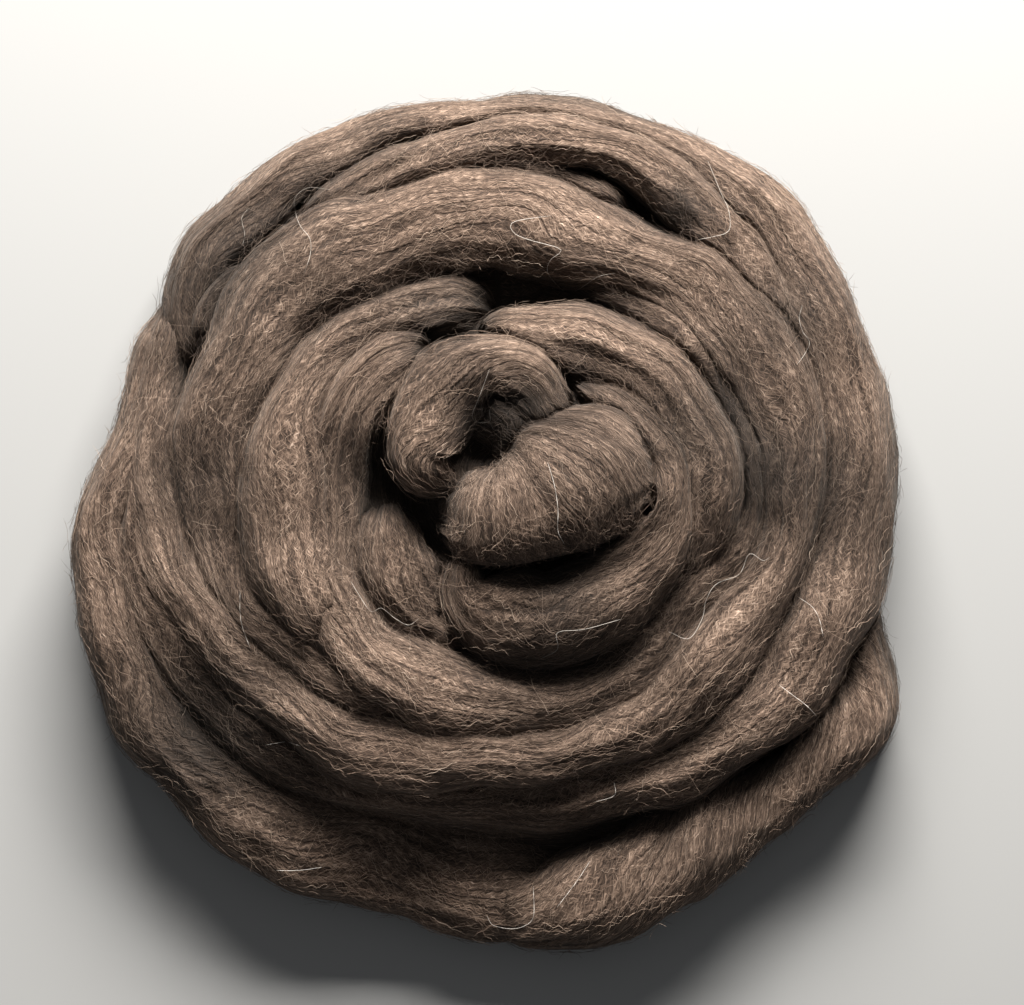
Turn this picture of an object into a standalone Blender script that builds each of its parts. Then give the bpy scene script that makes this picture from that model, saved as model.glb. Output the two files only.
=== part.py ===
"""A length of natural grey-brown wool roving laid in a loose flat nest.

One combed length of wool runs round and round into a soft low coil and ends in a folded
knob over the middle. It is one closed soft solid, flat underneath where it rests.

Frame in metres: the origin is the middle of the outline at the resting face, +X points
right and +Y up as seen from straight above, +Z is up from the resting face. Sizes in the
tables are in millimetres.
"""
import math
from collections import namedtuple

import bmesh
import bpy
import numpy as np

MM = 0.001

# ---- driving sizes, millimetres ------------------------------------------------------
EYE_X = 5.1             # middle of the coil from the middle of the outline, to the right
EYE_Y = 15.75           # the same, upwards
STEP_ALONG = 3.0        # length of one ring of the swept lengths
AROUND = 40             # points round one section
PER_SPAN = 10           # points of the smooth curve between two rows of a table
PHASE_STEP = 1.7        # shift of the pleats from one turn to the next, in radians
SOFT_POWER = 2.35       # roundness of a section, 2 is an ellipse
DEPTH_PER_WIDTH = 1.5   # how deep a turn is for its width, between the next two limits
DEPTH_LEAST = 18.0
DEPTH_MOST = 36.0
FLOOR_OVERLAP = 3.0     # how far the lowest turns are pressed below the resting plane
END_ROUND = 13.0        # length over which an end is rounded off
END_DIVE = 7.0          # how far an end sinks between its neighbours
PLEAT_PITCH = 7.5       # spacing of the main lengthwise pleats over a turn
PLEAT_DEPTH = 1.5       # height of a pleat from its valley
PLEAT_START = 1.3       # pleats are whole from the start until this has fallen to one
SWELL_LENGTH = 46.0     # length of the slow swelling along a turn
SWELL_DEPTH = 0.7       # how much the swelling lifts the crest
BED_CLOCK_STEP = 1.5    # degrees between the rays of the bed
BED_RINGS = 64          # rings of the bed from the eye to the rim
BED_FIRST = 0.03        # share of the way out at which the first ring lies
BED_FULL = 0.93         # share of the way out up to which the bed fills the nest
BED_BELOW = 0.3         # how far the filling stays under the turns
BED_DEPTH = 12.0        # the bed reaches this far below the resting plane before the cut
VOXEL = 1.9             # cell size for the joining of the turns
RELAX_SHARE = 0.45      # how far each pass evens the skin
RELAX_PASSES = 2
FACES_WANTED = 10400    # triangles left in the finished solid
WELD = 0.08             # points nearer than this are one point

# ---- tables --------------------------------------------------------------------------
# Polar station: clock is in degrees clockwise from the top, radius is from the eye,
# width is the width that shows and crest is the height of the top above the resting face.
Station = namedtuple("Station", "clock radius width crest")
# Flat station: the same with x and y from the eye.
Spot = namedtuple("Spot", "x y width crest")

TURNS = {
    "outer_turn": (
        Station(298, 112.0, 8, 26), Station(290, 108.0, 18, 27), Station(280, 107.0, 20, 28),
        Station(270, 113.0, 18, 29), Station(262, 119.0, 20, 30), Station(255, 122.0, 22, 30),
        Station(240, 127.0, 25, 30), Station(225, 128.0, 27, 29), Station(217, 127.0, 30, 28),
        Station(210, 124.0, 33, 25), Station(200, 120.8, 35, 22), Station(190, 119.5, 36, 20),
        Station(180, 124.0, 36, 19), Station(172, 128.0, 32, 17), Station(166, 130.0, 22, 14),
    ),
    "tail": (
        Station(108, 112.0, 14, 16), Station(114, 118.0, 16, 20), Station(120, 127.0, 19, 24),
        Station(126, 131.0, 23, 26), Station(132, 130.5, 22, 26), Station(138, 129.0, 22, 26),
        Station(145, 127.5, 25, 26), Station(152, 128.0, 29, 27), Station(160, 128.5, 31, 27),
        Station(167, 130.0, 31, 26), Station(173, 132.0, 28, 24), Station(179, 134.0, 20, 20),
        Station(183, 135.0, 10, 14),
    ),
    "second_turn": (
        Station(285, 92.0, 12, 24), Station(292, 98.0, 18, 28), Station(300, 105.0, 20, 30),
        Station(307, 109.0, 20, 31), Station(315, 108.0, 19, 31), Station(330, 107.0, 16, 32),
        Station(345, 106.6, 14, 32), Station(360, 106.5, 13, 32), Station(380, 106.8, 15, 31),
        Station(400, 108.0, 20, 31), Station(420, 106.0, 23, 32), Station(440, 106.2, 24, 33),
        Station(460, 107.0, 25, 34), Station(470, 107.5, 25, 34), Station(482, 106.5, 28, 36),
        Station(494, 106.0, 26, 36), Station(504, 104.5, 23, 35), Station(520, 100.5, 21, 33),
        Station(535, 98.5, 22, 31), Station(550, 98.5, 21, 30), Station(563, 101.0, 20, 30),
        Station(576, 105.5, 23, 31), Station(588, 108.6, 25, 32), Station(600, 110.0, 24, 32),
        Station(612, 110.0, 22, 32), Station(624, 108.5, 17, 30), Station(635, 105.0, 8, 27),
    ),
    "top_strand": (
        Station(306, 91.0, 8, 28), Station(318, 92.5, 10, 33), Station(330, 93.5, 11, 37),
        Station(345, 95.0, 12, 39), Station(362, 99.0, 13, 40), Station(378, 99.8, 13, 40),
        Station(390, 98.6, 15, 40), Station(402, 98.0, 14, 36), Station(414, 97.5, 12, 32),
        Station(426, 97.0, 7, 26),
    ),
    "gap_strand": (
        Station(350, 90.5, 6, 36), Station(365, 90.2, 6, 36), Station(380, 87.0, 6, 36),
        Station(388, 84.0, 5, 35),
    ),
    "broad_turn": (
        Station(200, 73.0, 10, 38), Station(208, 75.0, 14, 41), Station(220, 77.5, 17, 42),
        Station(232, 80.5, 17, 40), Station(243, 85.0, 17, 37), Station(253, 87.0, 19, 35),
        Station(264, 86.3, 23, 36), Station(278, 85.0, 25, 40), Station(292, 82.5, 25, 43),
        Station(306, 81.5, 28, 45),
        Station(320, 79.0, 29, 46), Station(340, 75.5, 28, 46), Station(360, 74.5, 29, 45),
        Station(376, 72.4, 27, 45), Station(392, 73.5, 21, 45), Station(408, 79.0, 23, 43),
        Station(424, 83.5, 25, 41), Station(440, 85.6, 22, 40), Station(458, 88.4, 19, 39),
        Station(470, 87.5, 19, 40), Station(482, 83.7, 22, 41), Station(494, 84.2, 22, 43),
        Station(506, 86.0, 20, 41), Station(524, 85.0, 18, 40), Station(542, 86.0, 17, 42),
        Station(556, 89.2, 20, 44), Station(573, 92.0, 21, 43), Station(590, 96.3, 20, 39),
        Station(606, 101.2, 18, 37), Station(622, 106.0, 17, 34), Station(640, 107.0, 16, 31),
        Station(656, 110.0, 8, 27),
    ),
    "inner_right": (
        Station(382, 58.0, 8, 32), Station(394, 62.0, 11, 36), Station(408, 65.8, 14, 38),
        Station(422, 67.5, 15, 37), Station(436, 71.3, 14, 35), Station(450, 75.0, 13, 34),
        Station(462, 76.0, 14, 36), Station(472, 73.5, 15, 38), Station(482, 68.4, 15, 40),
        Station(496, 69.0, 15, 39), Station(512, 70.5, 17, 39), Station(530, 70.0, 20, 41),
        Station(548, 68.5, 23, 45), Station(566, 68.4, 24, 47), Station(580, 68.0, 24, 46),
        Station(594, 62.0, 21, 45), Station(608, 55.0, 19, 44), Station(622, 50.0, 18, 44),
        Station(638, 48.0, 17, 46), Station(654, 47.0, 17, 50), Station(672, 44.6, 16, 51),
        Station(690, 41.0, 10, 48),
    ),
    "left_ring": (
        Station(222, 67.0, 14, 42), Station(231, 67.5, 22, 47), Station(242, 67.5, 25, 48),
        Station(255, 65.5, 25, 48), Station(270, 63.5, 24, 48), Station(285, 63.0, 21, 48),
        Station(300, 61.3, 18, 46), Station(316, 58.0, 17, 43), Station(332, 53.5, 15, 42),
        Station(346, 50.5, 14, 42), Station(359, 46.5, 8, 38),
    ),
    "right_ring": (
        Station(350, 38.0, 10, 48), Station(360, 41.0, 13, 52), Station(375, 43.6, 15, 53),
        Station(392, 47.0, 18, 53), Station(410, 51.0, 18, 52), Station(424, 54.5, 18, 52),
        Station(438, 59.0, 18, 51), Station(450, 63.0, 19, 50), Station(462, 64.2, 17, 48),
        Station(474, 64.0, 14, 44), Station(486, 65.0, 9, 38),
    ),
    "crescent": (
        Station(400, 34.0, 8, 50), Station(416, 38.0, 10, 51), Station(432, 42.6, 12, 51),
        Station(448, 48.2, 14, 51), Station(462, 51.5, 13, 52), Station(476, 51.2, 17, 52),
        Station(490, 49.8, 21, 51), Station(504, 48.0, 25, 51), Station(520, 46.8, 27, 51),
        Station(536, 44.2, 28, 50), Station(548, 41.5, 23, 49), Station(557, 38.0, 15, 47),
        Station(561, 31.0, 11, 45), Station(562, 24.0, 8, 42),
    ),
    "small_lobe": (
        Station(258, 35.5, 9, 36), Station(250, 36.5, 16, 42), Station(239, 39.0, 21, 45),
        Station(228, 42.5, 24, 46), Station(217, 45.0, 24, 45), Station(206, 47.0, 20, 42),
        Station(196, 49.0, 14, 38),
    ),
}

KNOB = {
    "knob_wrap": (
        Spot(-9.0, -3.5, 12, 49), Spot(-17.0, -3.0, 16, 54), Spot(-23.0, 2.0, 20, 57),
        Spot(-21.5, 11.0, 26, 59), Spot(-17.0, 19.5, 29, 60), Spot(-12.0, 26.5, 27, 61),
        Spot(-4.0, 30.5, 21, 62), Spot(4.5, 29.5, 20, 61), Spot(10.5, 25.0, 19, 59),
        Spot(14.0, 18.5, 18, 56), Spot(17.0, 12.0, 17, 52), Spot(18.5, 5.0, 12, 46),
    ),
    "knob_inner": (
        Spot(-16.0, 20.0, 14, 42), Spot(-7.0, 18.0, 22, 47), Spot(2.0, 16.0, 25, 48),
        Spot(9.0, 10.0, 23, 48), Spot(15.0, 1.0, 14, 44),
    ),
    "pleat_lobe": (
        Spot(-70.0, 65.0, 7, 29), Spot(-79.0, 58.0, 9, 32), Spot(-85.5, 50.0, 9, 32),
        Spot(-89.0, 42.0, 8, 30), Spot(-90.0, 32.0, 6, 26),
    ),
    "puff": (
        Spot(-20.0, -13.0, 20, 50), Spot(-11.0, -14.0, 28, 56), Spot(0.0, -13.0, 32, 60),
        Spot(10.0, -10.0, 38, 62), Spot(20.0, -5.0, 46, 64), Spot(30.0, -1.5, 43, 62),
        Spot(39.5, 0.0, 35, 59), Spot(48.5, 0.0, 23, 55),
    ),
}

# Lean: how far the fibres and pleats of a turn lie off its path, in degrees, at shares
# of its length. Every turn that isn't named has the slight lean of a combed length.
Lean = namedtuple("Lean", "share angle")
LEANS = {
    "tail": (Lean(0.0, -8), Lean(0.2, -30), Lean(0.45, -44), Lean(0.65, -38),
             Lean(0.85, -14), Lean(1.0, -4)),
    "outer_turn": (Lean(0.0, 4), Lean(0.5, -6), Lean(1.0, 8)),
    "knob_wrap": (Lean(0.0, 26), Lean(0.3, 20), Lean(0.42, 0), Lean(0.6, -16),
                  Lean(1.0, -10)),
}
PLAIN_LEAN = (Lean(0.0, 2), Lean(1.0, 2))
# How much wider a turn really is than what shows of it between its neighbours.
PLAIN_OVERLAP = 1.18
# Turns at the rim, which reach down to the resting plane however narrow they are.
GROUNDED = ("outer_turn", "tail", "second_turn")
OVERLAPS = {
    "outer_turn": 1.02, "tail": 1.02, "second_turn": 1.06, "knob_wrap": 1.0, "knob_inner": 1.0,
    "puff": 1.0,
}

# Pleats that differ from the rest: spacing, height and the share of the length at which
# they have faded out; a fade over 1 leaves them to the end.
Pleat = namedtuple("Pleat", "pitch depth fade")
PLEATS = {
    "tail": Pleat(15.0, 3.0, 0.6),
    "puff": Pleat(20.0, 0.0, 9.0),
    "broad_turn": Pleat(6.5, 1.5, 9.0),
    "knob_wrap": Pleat(7.5, 0.8, 9.0),
}
PLAIN_PLEAT = Pleat(PLEAT_PITCH, PLEAT_DEPTH, 9.0)

# Bed under the turns: its rim follows the nest, its height falls away to the rim.
Rim = namedtuple("Rim", "clock radius")
BED_RIM = (Rim(0, 105), Rim(45, 107), Rim(90, 108), Rim(118, 114), Rim(145, 124),
           Rim(180, 128), Rim(210, 128), Rim(240, 126), Rim(265, 116), Rim(290, 105),
           Rim(330, 105), Rim(360, 105))
Level = namedtuple("Level", "share height")
BED_LEVELS = (Level(0.0, 40), Level(0.14, 40), Level(0.22, 30), Level(0.34, 33),
              Level(0.48, 27), Level(0.56, 27), Level(0.68, 28), Level(0.78, 24),
              Level(0.86, 17), Level(0.93, 10), Level(1.0, 4))

# Matting: where neighbouring turns cling together and the crease between them is filled,
# by place from the eye, reach and share. A share below nothing keeps a gap open.
Matted = namedtuple("Matted", "x y reach share")
PLAIN_MATTED = 0.42
UNEVEN_MATTED = 0.28     # how much the plain share rises and falls over the nest
UNEVEN_LENGTH = 8.5      # length over which it does so, for one radian
MATTED = (
    Matted(-111, -3, 28, 0.6), Matted(-101, -30, 28, 0.6), Matted(-87, -63, 26, 0.3),
    Matted(-60, -92, 24, 0.3), Matted(-56, -6, 15, 0.6), Matted(-56, 14, 11, 0.4),
    Matted(-88, 12, 14, 0.3), Matted(66, 63, 17, 0.6), Matted(80, 46, 20, 0.6),
    Matted(90, 20, 18, 0.5), Matted(25, 10, 15, 1.0), Matted(92, 50, 16, 0.6),
    Matted(94, 20, 16, 0.6), Matted(-84, 76, 16, 0.5), Matted(-81, 49, 9, -0.7),
    Matted(-15, 98, 26, 0.15), Matted(12, 57, 13, -0.8), Matted(-5, 7, 5, -0.5),
    Matted(0, 18, 9, 0.6), Matted(46, -9, 8, 0.9), Matted(-15, -44, 13, 0.8),
    Matted(-50, -44, 10, 0.6),
    Matted(-40, -3, 10, -0.7), Matted(8, -32, 18, -0.6), Matted(10, -60, 22, -0.5),
    Matted(18, -108, 26, -0.5), Matted(60, -102, 22, -0.5), Matted(98, -68, 14, -0.5),
    Matted(46, 74, 13, -0.7), Matted(-92, 30, 8, -0.5), Matted(-77, -30, 14, -0.4),
    Matted(-20, 66, 16, -0.6), Matted(-48, 49, 15, -0.5), Matted(-32, 99, 13, -0.6),
    Matted(-58, 84, 13, 0.2), Matted(20, 88, 20, -0.4), Matted(76, 58, 12, 0.5),
)
CELL = 1.0               # spacing of the height map on which the matting is worked out
MAP_REACH = 142.0        # the map reaches this far from the origin each way
MAP_PARTS = 6            # places from one point of a turn to the next that are put on the map
BALL_RADIUS = 20.0       # radius of the ball that just lies in a fully matted crease
BALL_REACH = 20          # cells round a place that the ball is tried on
FILL_MOST = 22.0         # deepest filling
FILL_START = 1.5         # the filling is whole down to where this has fallen to one
FILL_FADE = 3.0          # how far under the surface it falls by one


# ---- curves --------------------------------------------------------------------------
def smooth_rows(rows, per_span):
    """Pass a smooth curve through the rows of a table, per_span points to a span."""
    knots = np.asarray(rows, dtype=float)
    first = 2.0 * knots[0] - knots[1]
    last = 2.0 * knots[-1] - knots[-2]
    padded = np.vstack([first, knots, last])
    share = np.linspace(0.0, 1.0, per_span, endpoint=False)[:, None]
    spans = []
    for index in range(1, len(padded) - 2):
        before, here, after, beyond = padded[index - 1:index + 3]
        linear = after - before
        square = 2.0 * before - 5.0 * here + 4.0 * after - beyond
        cubic = 3.0 * here - before - 3.0 * after + beyond
        curve = 2.0 * here + linear * share + square * share ** 2 + cubic * share ** 3
        spans.append(0.5 * curve)
    spans.append(knots[-1:])
    return np.vstack(spans)


def even_rows(rows, step):
    """Space a dense curve evenly, with columns x, y, width and crest.

    Returns the spaced rows and the length along the path at each of them.
    """
    gaps = np.linalg.norm(np.diff(rows[:, :2], axis=0), axis=1)
    length = np.concatenate([[0.0], np.cumsum(gaps)])
    count = max(int(round(length[-1] / step)), 6)
    marks = np.linspace(0.0, length[-1], count + 1)
    columns = [np.interp(marks, length, rows[:, column]) for column in range(rows.shape[1])]
    return np.stack(columns, axis=1), marks


def polar_to_flat(rows):
    """Turn clock and radius columns into x and y in the part's frame."""
    flat = rows.copy()
    angle = np.radians(rows[:, 0])
    flat[:, 0] = EYE_X + rows[:, 1] * np.sin(angle)
    flat[:, 1] = EYE_Y + rows[:, 1] * np.cos(angle)
    return flat


def spots_to_flat(rows):
    """Move x and y from the eye to the part's frame."""
    flat = rows.copy()
    flat[:, 0] += EYE_X
    flat[:, 1] += EYE_Y
    return flat


def unit_across(rows):
    """Level direction across the path at each row, to the left of travel."""
    along = np.gradient(rows[:, :2], axis=0)
    along /= np.linalg.norm(along, axis=1)[:, None]
    return np.stack([-along[:, 1], along[:, 0]], axis=1)


# ---- matting -------------------------------------------------------------------------
def bed_height(x, y):
    """Height of the bed at a place: its level at the share of the way out to the rim."""
    rim = np.asarray(BED_RIM, dtype=float)
    levels = np.asarray(BED_LEVELS, dtype=float)
    clock = np.degrees(np.arctan2(x - EYE_X, y - EYE_Y)) % 360.0
    share = np.hypot(x - EYE_X, y - EYE_Y) / np.interp(clock, rim[:, 0], rim[:, 1])
    return np.interp(share, levels[:, 0], levels[:, 1], right=0.0)


def height_map(grids):
    """Highest of the bed and of the upper halves of the turns in every cell."""
    cells = int(2.0 * MAP_REACH / CELL) + 1
    places = np.linspace(-MAP_REACH, MAP_REACH, cells)
    top = bed_height(places[:, None], places[None, :])
    for points in grids:
        upper = points[:, AROUND // 4:3 * AROUND // 4 + 1]
        for step in np.arange(MAP_PARTS) / MAP_PARTS:
            between = upper[:-1] * (1.0 - step) + upper[1:] * step
            for part in np.arange(MAP_PARTS) / MAP_PARTS:
                spot = between[:, :-1] * (1.0 - part) + between[:, 1:] * part
                spot = spot.reshape(-1, 3)
                cell = np.rint((spot[:, :2] + MAP_REACH) / CELL).astype(int)
                np.maximum.at(top, (cell[:, 0], cell[:, 1]), spot[:, 2])
    return top


def spread_map(field, radius, reach):
    """Lift every cell to the highest paraboloid cap that stands on a cell nearby."""
    for axis in (0, 1):
        base = field
        field = base.copy()
        for step in range(1, reach + 1):
            drop = (step * CELL) ** 2 / (2.0 * radius)
            for way in (-step, step):
                field = np.maximum(field, np.roll(base, way, axis=axis) - drop)
    return field


def ball_surface(field, radius, reach):
    """Lowest surface that a ball of that radius reaches when it rolls over the map."""
    return -spread_map(-spread_map(field, radius, reach), radius, reach)


def even_map(field):
    """Mean of every cell and its eight neighbours."""
    for axis in (0, 1):
        field = (np.roll(field, 1, axis=axis) + field + np.roll(field, -1, axis=axis)) / 3.0
    return field


def map_at(field, x, y):
    """Blend the map between its cells at any places."""
    column = np.clip((x + MAP_REACH) / CELL, 0, field.shape[0] - 1.001)
    row = np.clip((y + MAP_REACH) / CELL, 0, field.shape[1] - 1.001)
    left, low = column.astype(int), row.astype(int)
    over, up = column - left, row - low
    near = field[left, low] * (1.0 - over) + field[left + 1, low] * over
    far = field[left, low + 1] * (1.0 - over) + field[left + 1, low + 1] * over
    return near * (1.0 - up) + far * up


def matted_share(x, y):
    """How fully a crease is filled: the plain share plus a bell for each row of the table."""
    wave = np.sin((x + 0.5 * y) / UNEVEN_LENGTH) * np.sin((y - 0.3 * x) / UNEVEN_LENGTH)
    share = PLAIN_MATTED + UNEVEN_MATTED * wave
    for spot in MATTED:
        distance = np.hypot(x - EYE_X - spot.x, y - EYE_Y - spot.y)
        share = share + spot.share * np.exp(-(distance / spot.reach) ** 2)
    return np.clip(share, 0.0, 1.0)


def matted_grids(grids):
    """Lift the turns in the creases towards the ball's surface, by the matted share.

    Returns the lifted grids and the map of the whole upper surface.
    """
    top = height_map(grids)
    fill = np.clip(ball_surface(top, BALL_RADIUS, BALL_REACH) - top, 0.0, FILL_MOST)
    fill = even_map(np.where(top > 0.0, fill, 0.0))
    settled = []
    for points in grids:
        x, y, z = points[:, :, 0], points[:, :, 1], points[:, :, 2]
        near = np.clip(FILL_START - (map_at(top, x, y) - z) / FILL_FADE, 0.0, 1.0)
        lift = matted_share(x, y) * map_at(fill, x, y) * near
        settled.append(np.stack([x, y, z + lift], axis=2))
    places = np.linspace(-MAP_REACH, MAP_REACH, len(top))
    return settled, top + matted_share(places[:, None], places[None, :]) * fill


# ---- surfaces ------------------------------------------------------------------------
def turn_depth(name, width, crest):
    """Depth of a turn: soft and round for its width, never far below the resting plane."""
    if name in GROUNDED:
        return crest + FLOOR_OVERLAP
    depth = np.clip(DEPTH_PER_WIDTH * width, DEPTH_LEAST, DEPTH_MOST)
    return np.minimum(depth, crest + FLOOR_OVERLAP)


def lay_drift(name, marks):
    """How far the lay has moved across the path at each ring, from the lean's tangent."""
    lean = np.asarray(LEANS.get(name, PLAIN_LEAN), dtype=float)
    angle = np.radians(np.interp(marks / marks[-1], lean[:, 0], lean[:, 1]))
    return np.cumsum(np.tan(angle) * np.gradient(marks))


def swept_rings(name, rows, marks, phase):
    """Rings of a soft turn: a superellipse across the path with pleats along its lay."""
    across = unit_across(rows)
    width = rows[:, 2] * OVERLAPS.get(name, PLAIN_OVERLAP)
    swell = SWELL_DEPTH * np.sin(2.0 * math.pi * marks / SWELL_LENGTH + phase)
    crest = rows[:, 3] + swell
    depth = turn_depth(name, width, crest)
    end_gap = np.minimum(marks, marks[-1] - marks)
    fall = np.clip(1.0 - end_gap / END_ROUND, 0.0, 0.98)
    rounding = np.sqrt(1.0 - fall ** 2)
    turn = np.linspace(-0.5 * math.pi, 1.5 * math.pi, AROUND, endpoint=False)
    power = 2.0 / SOFT_POWER
    side = np.sign(np.cos(turn)) * np.abs(np.cos(turn)) ** power
    rise = np.sign(np.sin(turn)) * np.abs(np.sin(turn)) ** power
    reach = 0.5 * width[:, None] * side[None, :]
    lay = reach - lay_drift(name, marks)[:, None]
    pitch, depth_most, fade = PLEATS.get(name, PLAIN_PLEAT)
    left = np.clip(PLEAT_START * (1.0 - marks / marks[-1] / fade), 0.0, 1.0)
    growth = depth_most * left[:, None]
    pleat = growth * np.cos(2.0 * math.pi * lay / pitch + phase)
    pleat *= np.clip(rise, 0.0, 1.0)[None, :]
    pleat *= np.clip((width[:, None] - PLEAT_PITCH) / PLEAT_PITCH, 0.0, 1.0)
    height = crest[:, None] - 0.5 * depth[:, None] * (1.0 - rise[None, :] * rounding[:, None])
    height += 0.5 * (pleat - growth) - END_DIVE * (fall ** 2)[:, None]
    reach = reach * rounding[:, None]
    x = rows[:, 0:1] + across[:, 0:1] * reach
    y = rows[:, 1:2] + across[:, 1:2] * reach
    return np.stack([x, y, height], axis=2)


def tube_mesh(bm, rings):
    """Add one closed tube from its rings, each end closed by a fan to its middle."""
    count, around = rings.shape[:2]
    grid = [[bm.verts.new(tuple(point * MM)) for point in ring] for ring in rings]
    for low, high in zip(grid[:-1], grid[1:]):
        for index in range(around):
            after = (index + 1) % around
            bm.faces.new((low[index], high[index], high[after], low[after]))
    for ring, points in ((grid[0], rings[0]), (grid[-1], rings[-1])):
        middle = bm.verts.new(tuple(points.mean(axis=0) * MM))
        for index in range(around):
            bm.faces.new((ring[index], ring[(index + 1) % around], middle))


def swept_turns(table, to_flat, first_number):
    """Rings of every path of a table."""
    grids = []
    for number, (name, rows) in enumerate(table.items(), first_number):
        flat = to_flat(smooth_rows(rows, PER_SPAN))
        even, marks = even_rows(flat, STEP_ALONG)
        grids.append(swept_rings(name, even, marks, PHASE_STEP * number))
    return grids


def lowest_near(field):
    """Lowest of every cell and its eight neighbours."""
    for axis in (0, 1):
        low = np.minimum(np.roll(field, 1, axis=axis), np.roll(field, -1, axis=axis))
        field = np.minimum(field, low)
    return field


def add_bed(bm, surface):
    """Add the hidden inside of the nest, which comes up to just under the visible turns."""
    rim = np.asarray(BED_RIM, dtype=float)
    levels = np.asarray(BED_LEVELS, dtype=float)
    clocks = np.arange(0.0, 360.0, BED_CLOCK_STEP)
    edge = np.interp(clocks, rim[:, 0], rim[:, 1])
    angle = np.radians(clocks)
    under = lowest_near(surface) - BED_BELOW
    top = []
    for share in np.linspace(BED_FIRST, 1.0, BED_RINGS):
        x = EYE_X + share * edge * np.sin(angle)
        y = EYE_Y + share * edge * np.cos(angle)
        height = bed_height(x, y)
        if share < BED_FULL:
            height = np.maximum(height, map_at(under, x, y))
        top.append([bm.verts.new((a * MM, b * MM, c * MM)) for a, b, c in zip(x, y, height)])
    foot = [bm.verts.new((v.co.x, v.co.y, -BED_DEPTH * MM)) for v in top[-1]]
    rings = top + [foot]
    for low, high in zip(rings[:-1], rings[1:]):
        for index in range(len(clocks)):
            after = (index + 1) % len(clocks)
            bm.faces.new((low[index], high[index], high[after], low[after]))
    peak = bm.verts.new((EYE_X * MM, EYE_Y * MM, levels[0, 1] * MM))
    base = bm.verts.new((EYE_X * MM, EYE_Y * MM, -BED_DEPTH * MM))
    for index in range(len(clocks)):
        after = (index + 1) % len(clocks)
        bm.faces.new((top[0][index], top[0][after], peak))
        bm.faces.new((foot[after], foot[index], base))


# ---- one soft solid ------------------------------------------------------------------
def linked_object(name, bm):
    """Make an object from a bmesh with every face outward."""
    bmesh.ops.recalc_face_normals(bm, faces=bm.faces)
    mesh = bpy.data.meshes.new(name)
    bm.to_mesh(mesh)
    bm.free()
    item = bpy.data.objects.new(name, mesh)
    bpy.context.collection.objects.link(item)
    return item


def evaluated_bmesh(item):
    """Return a bmesh of the object as its modifiers leave it."""
    graph = bpy.context.evaluated_depsgraph_get()
    bm = bmesh.new()
    bm.from_object(item, graph)
    return bm


def add_remesh(item):
    """Join the overlapping turns into one skin."""
    remesh = item.modifiers.new("join", "REMESH")
    remesh.mode = "VOXEL"
    remesh.voxel_size = VOXEL * MM
    remesh.use_smooth_shade = True
    relax = item.modifiers.new("relax", "SMOOTH")
    relax.factor = RELAX_SHARE
    relax.iterations = RELAX_PASSES


def largest_shell(bm):
    """Keep the outer skin only: the linked set of faces with the most faces."""
    bm.faces.ensure_lookup_table()
    unseen = set(bm.faces)
    shells = []
    while unseen:
        stack = [unseen.pop()]
        shell = set(stack)
        while stack:
            face = stack.pop()
            for edge in face.edges:
                for neighbour in edge.link_faces:
                    if neighbour in unseen:
                        unseen.discard(neighbour)
                        shell.add(neighbour)
                        stack.append(neighbour)
        shells.append(shell)
    keep = max(shells, key=len)
    spare = [face for face in bm.faces if face not in keep]
    bmesh.ops.delete(bm, geom=spare, context="FACES")
    loose = [vert for vert in bm.verts if not vert.link_faces]
    bmesh.ops.delete(bm, geom=loose, context="VERTS")


def cut_flat(bm):
    """Cut the solid at the resting plane, close it with one flat face and split that."""
    everything = list(bm.verts) + list(bm.edges) + list(bm.faces)
    cut = bmesh.ops.bisect_plane(bm, geom=everything, dist=1e-6, plane_co=(0, 0, 0),
                                 plane_no=(0, 0, 1), clear_inner=True)
    rim = [part for part in cut["geom_cut"] if isinstance(part, bmesh.types.BMEdge)]
    for edge in rim:
        for vert in edge.verts:
            vert.co.z = 0.0
    bmesh.ops.edgenet_fill(bm, edges=rim)
    largest_shell(bm)
    bmesh.ops.remove_doubles(bm, verts=bm.verts, dist=WELD * MM)
    bmesh.ops.triangulate(bm, faces=bm.faces)
    bmesh.ops.recalc_face_normals(bm, faces=bm.faces)


def centre_outline(bm):
    """Put the middle of the outline at the origin."""
    points = np.array([vert.co[:] for vert in bm.verts])
    middle = 0.5 * (points.min(axis=0) + points.max(axis=0))
    for vert in bm.verts:
        vert.co.x -= middle[0]
        vert.co.y -= middle[1]


def wool_material():
    """Matt undyed grey-brown wool."""
    material = bpy.data.materials.new("wool")
    material.use_nodes = True
    shader = material.node_tree.nodes["Principled BSDF"]
    shader.inputs["Base Color"].default_value = (0.085, 0.062, 0.048, 1.0)
    shader.inputs["Roughness"].default_value = 0.9
    shader.inputs["Metallic"].default_value = 0.0
    return material


def build_nest():
    """Sweep the turns over their bed, join them and cut the resting face."""
    bm = bmesh.new()
    grids = swept_turns(TURNS, polar_to_flat, 0)
    grids += swept_turns(KNOB, spots_to_flat, len(TURNS))
    grids, surface = matted_grids(grids)
    for rings in grids:
        tube_mesh(bm, rings)
    add_bed(bm, surface)
    rough = linked_object("rough_nest", bm)
    add_remesh(rough)
    skin = evaluated_bmesh(rough)
    bpy.data.objects.remove(rough)
    largest_shell(skin)
    cut_flat(skin)
    centre_outline(skin)
    share = min(1.0, FACES_WANTED / len(skin.faces))
    nest = linked_object("roving_nest", skin)
    thin = nest.modifiers.new("thin", "DECIMATE")
    thin.ratio = share
    for face in nest.data.polygons:
        face.use_smooth = True
    nest.data.materials.append(wool_material())
    return nest


for item in list(bpy.data.objects):
    bpy.data.objects.remove(item)
build_nest()
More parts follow.
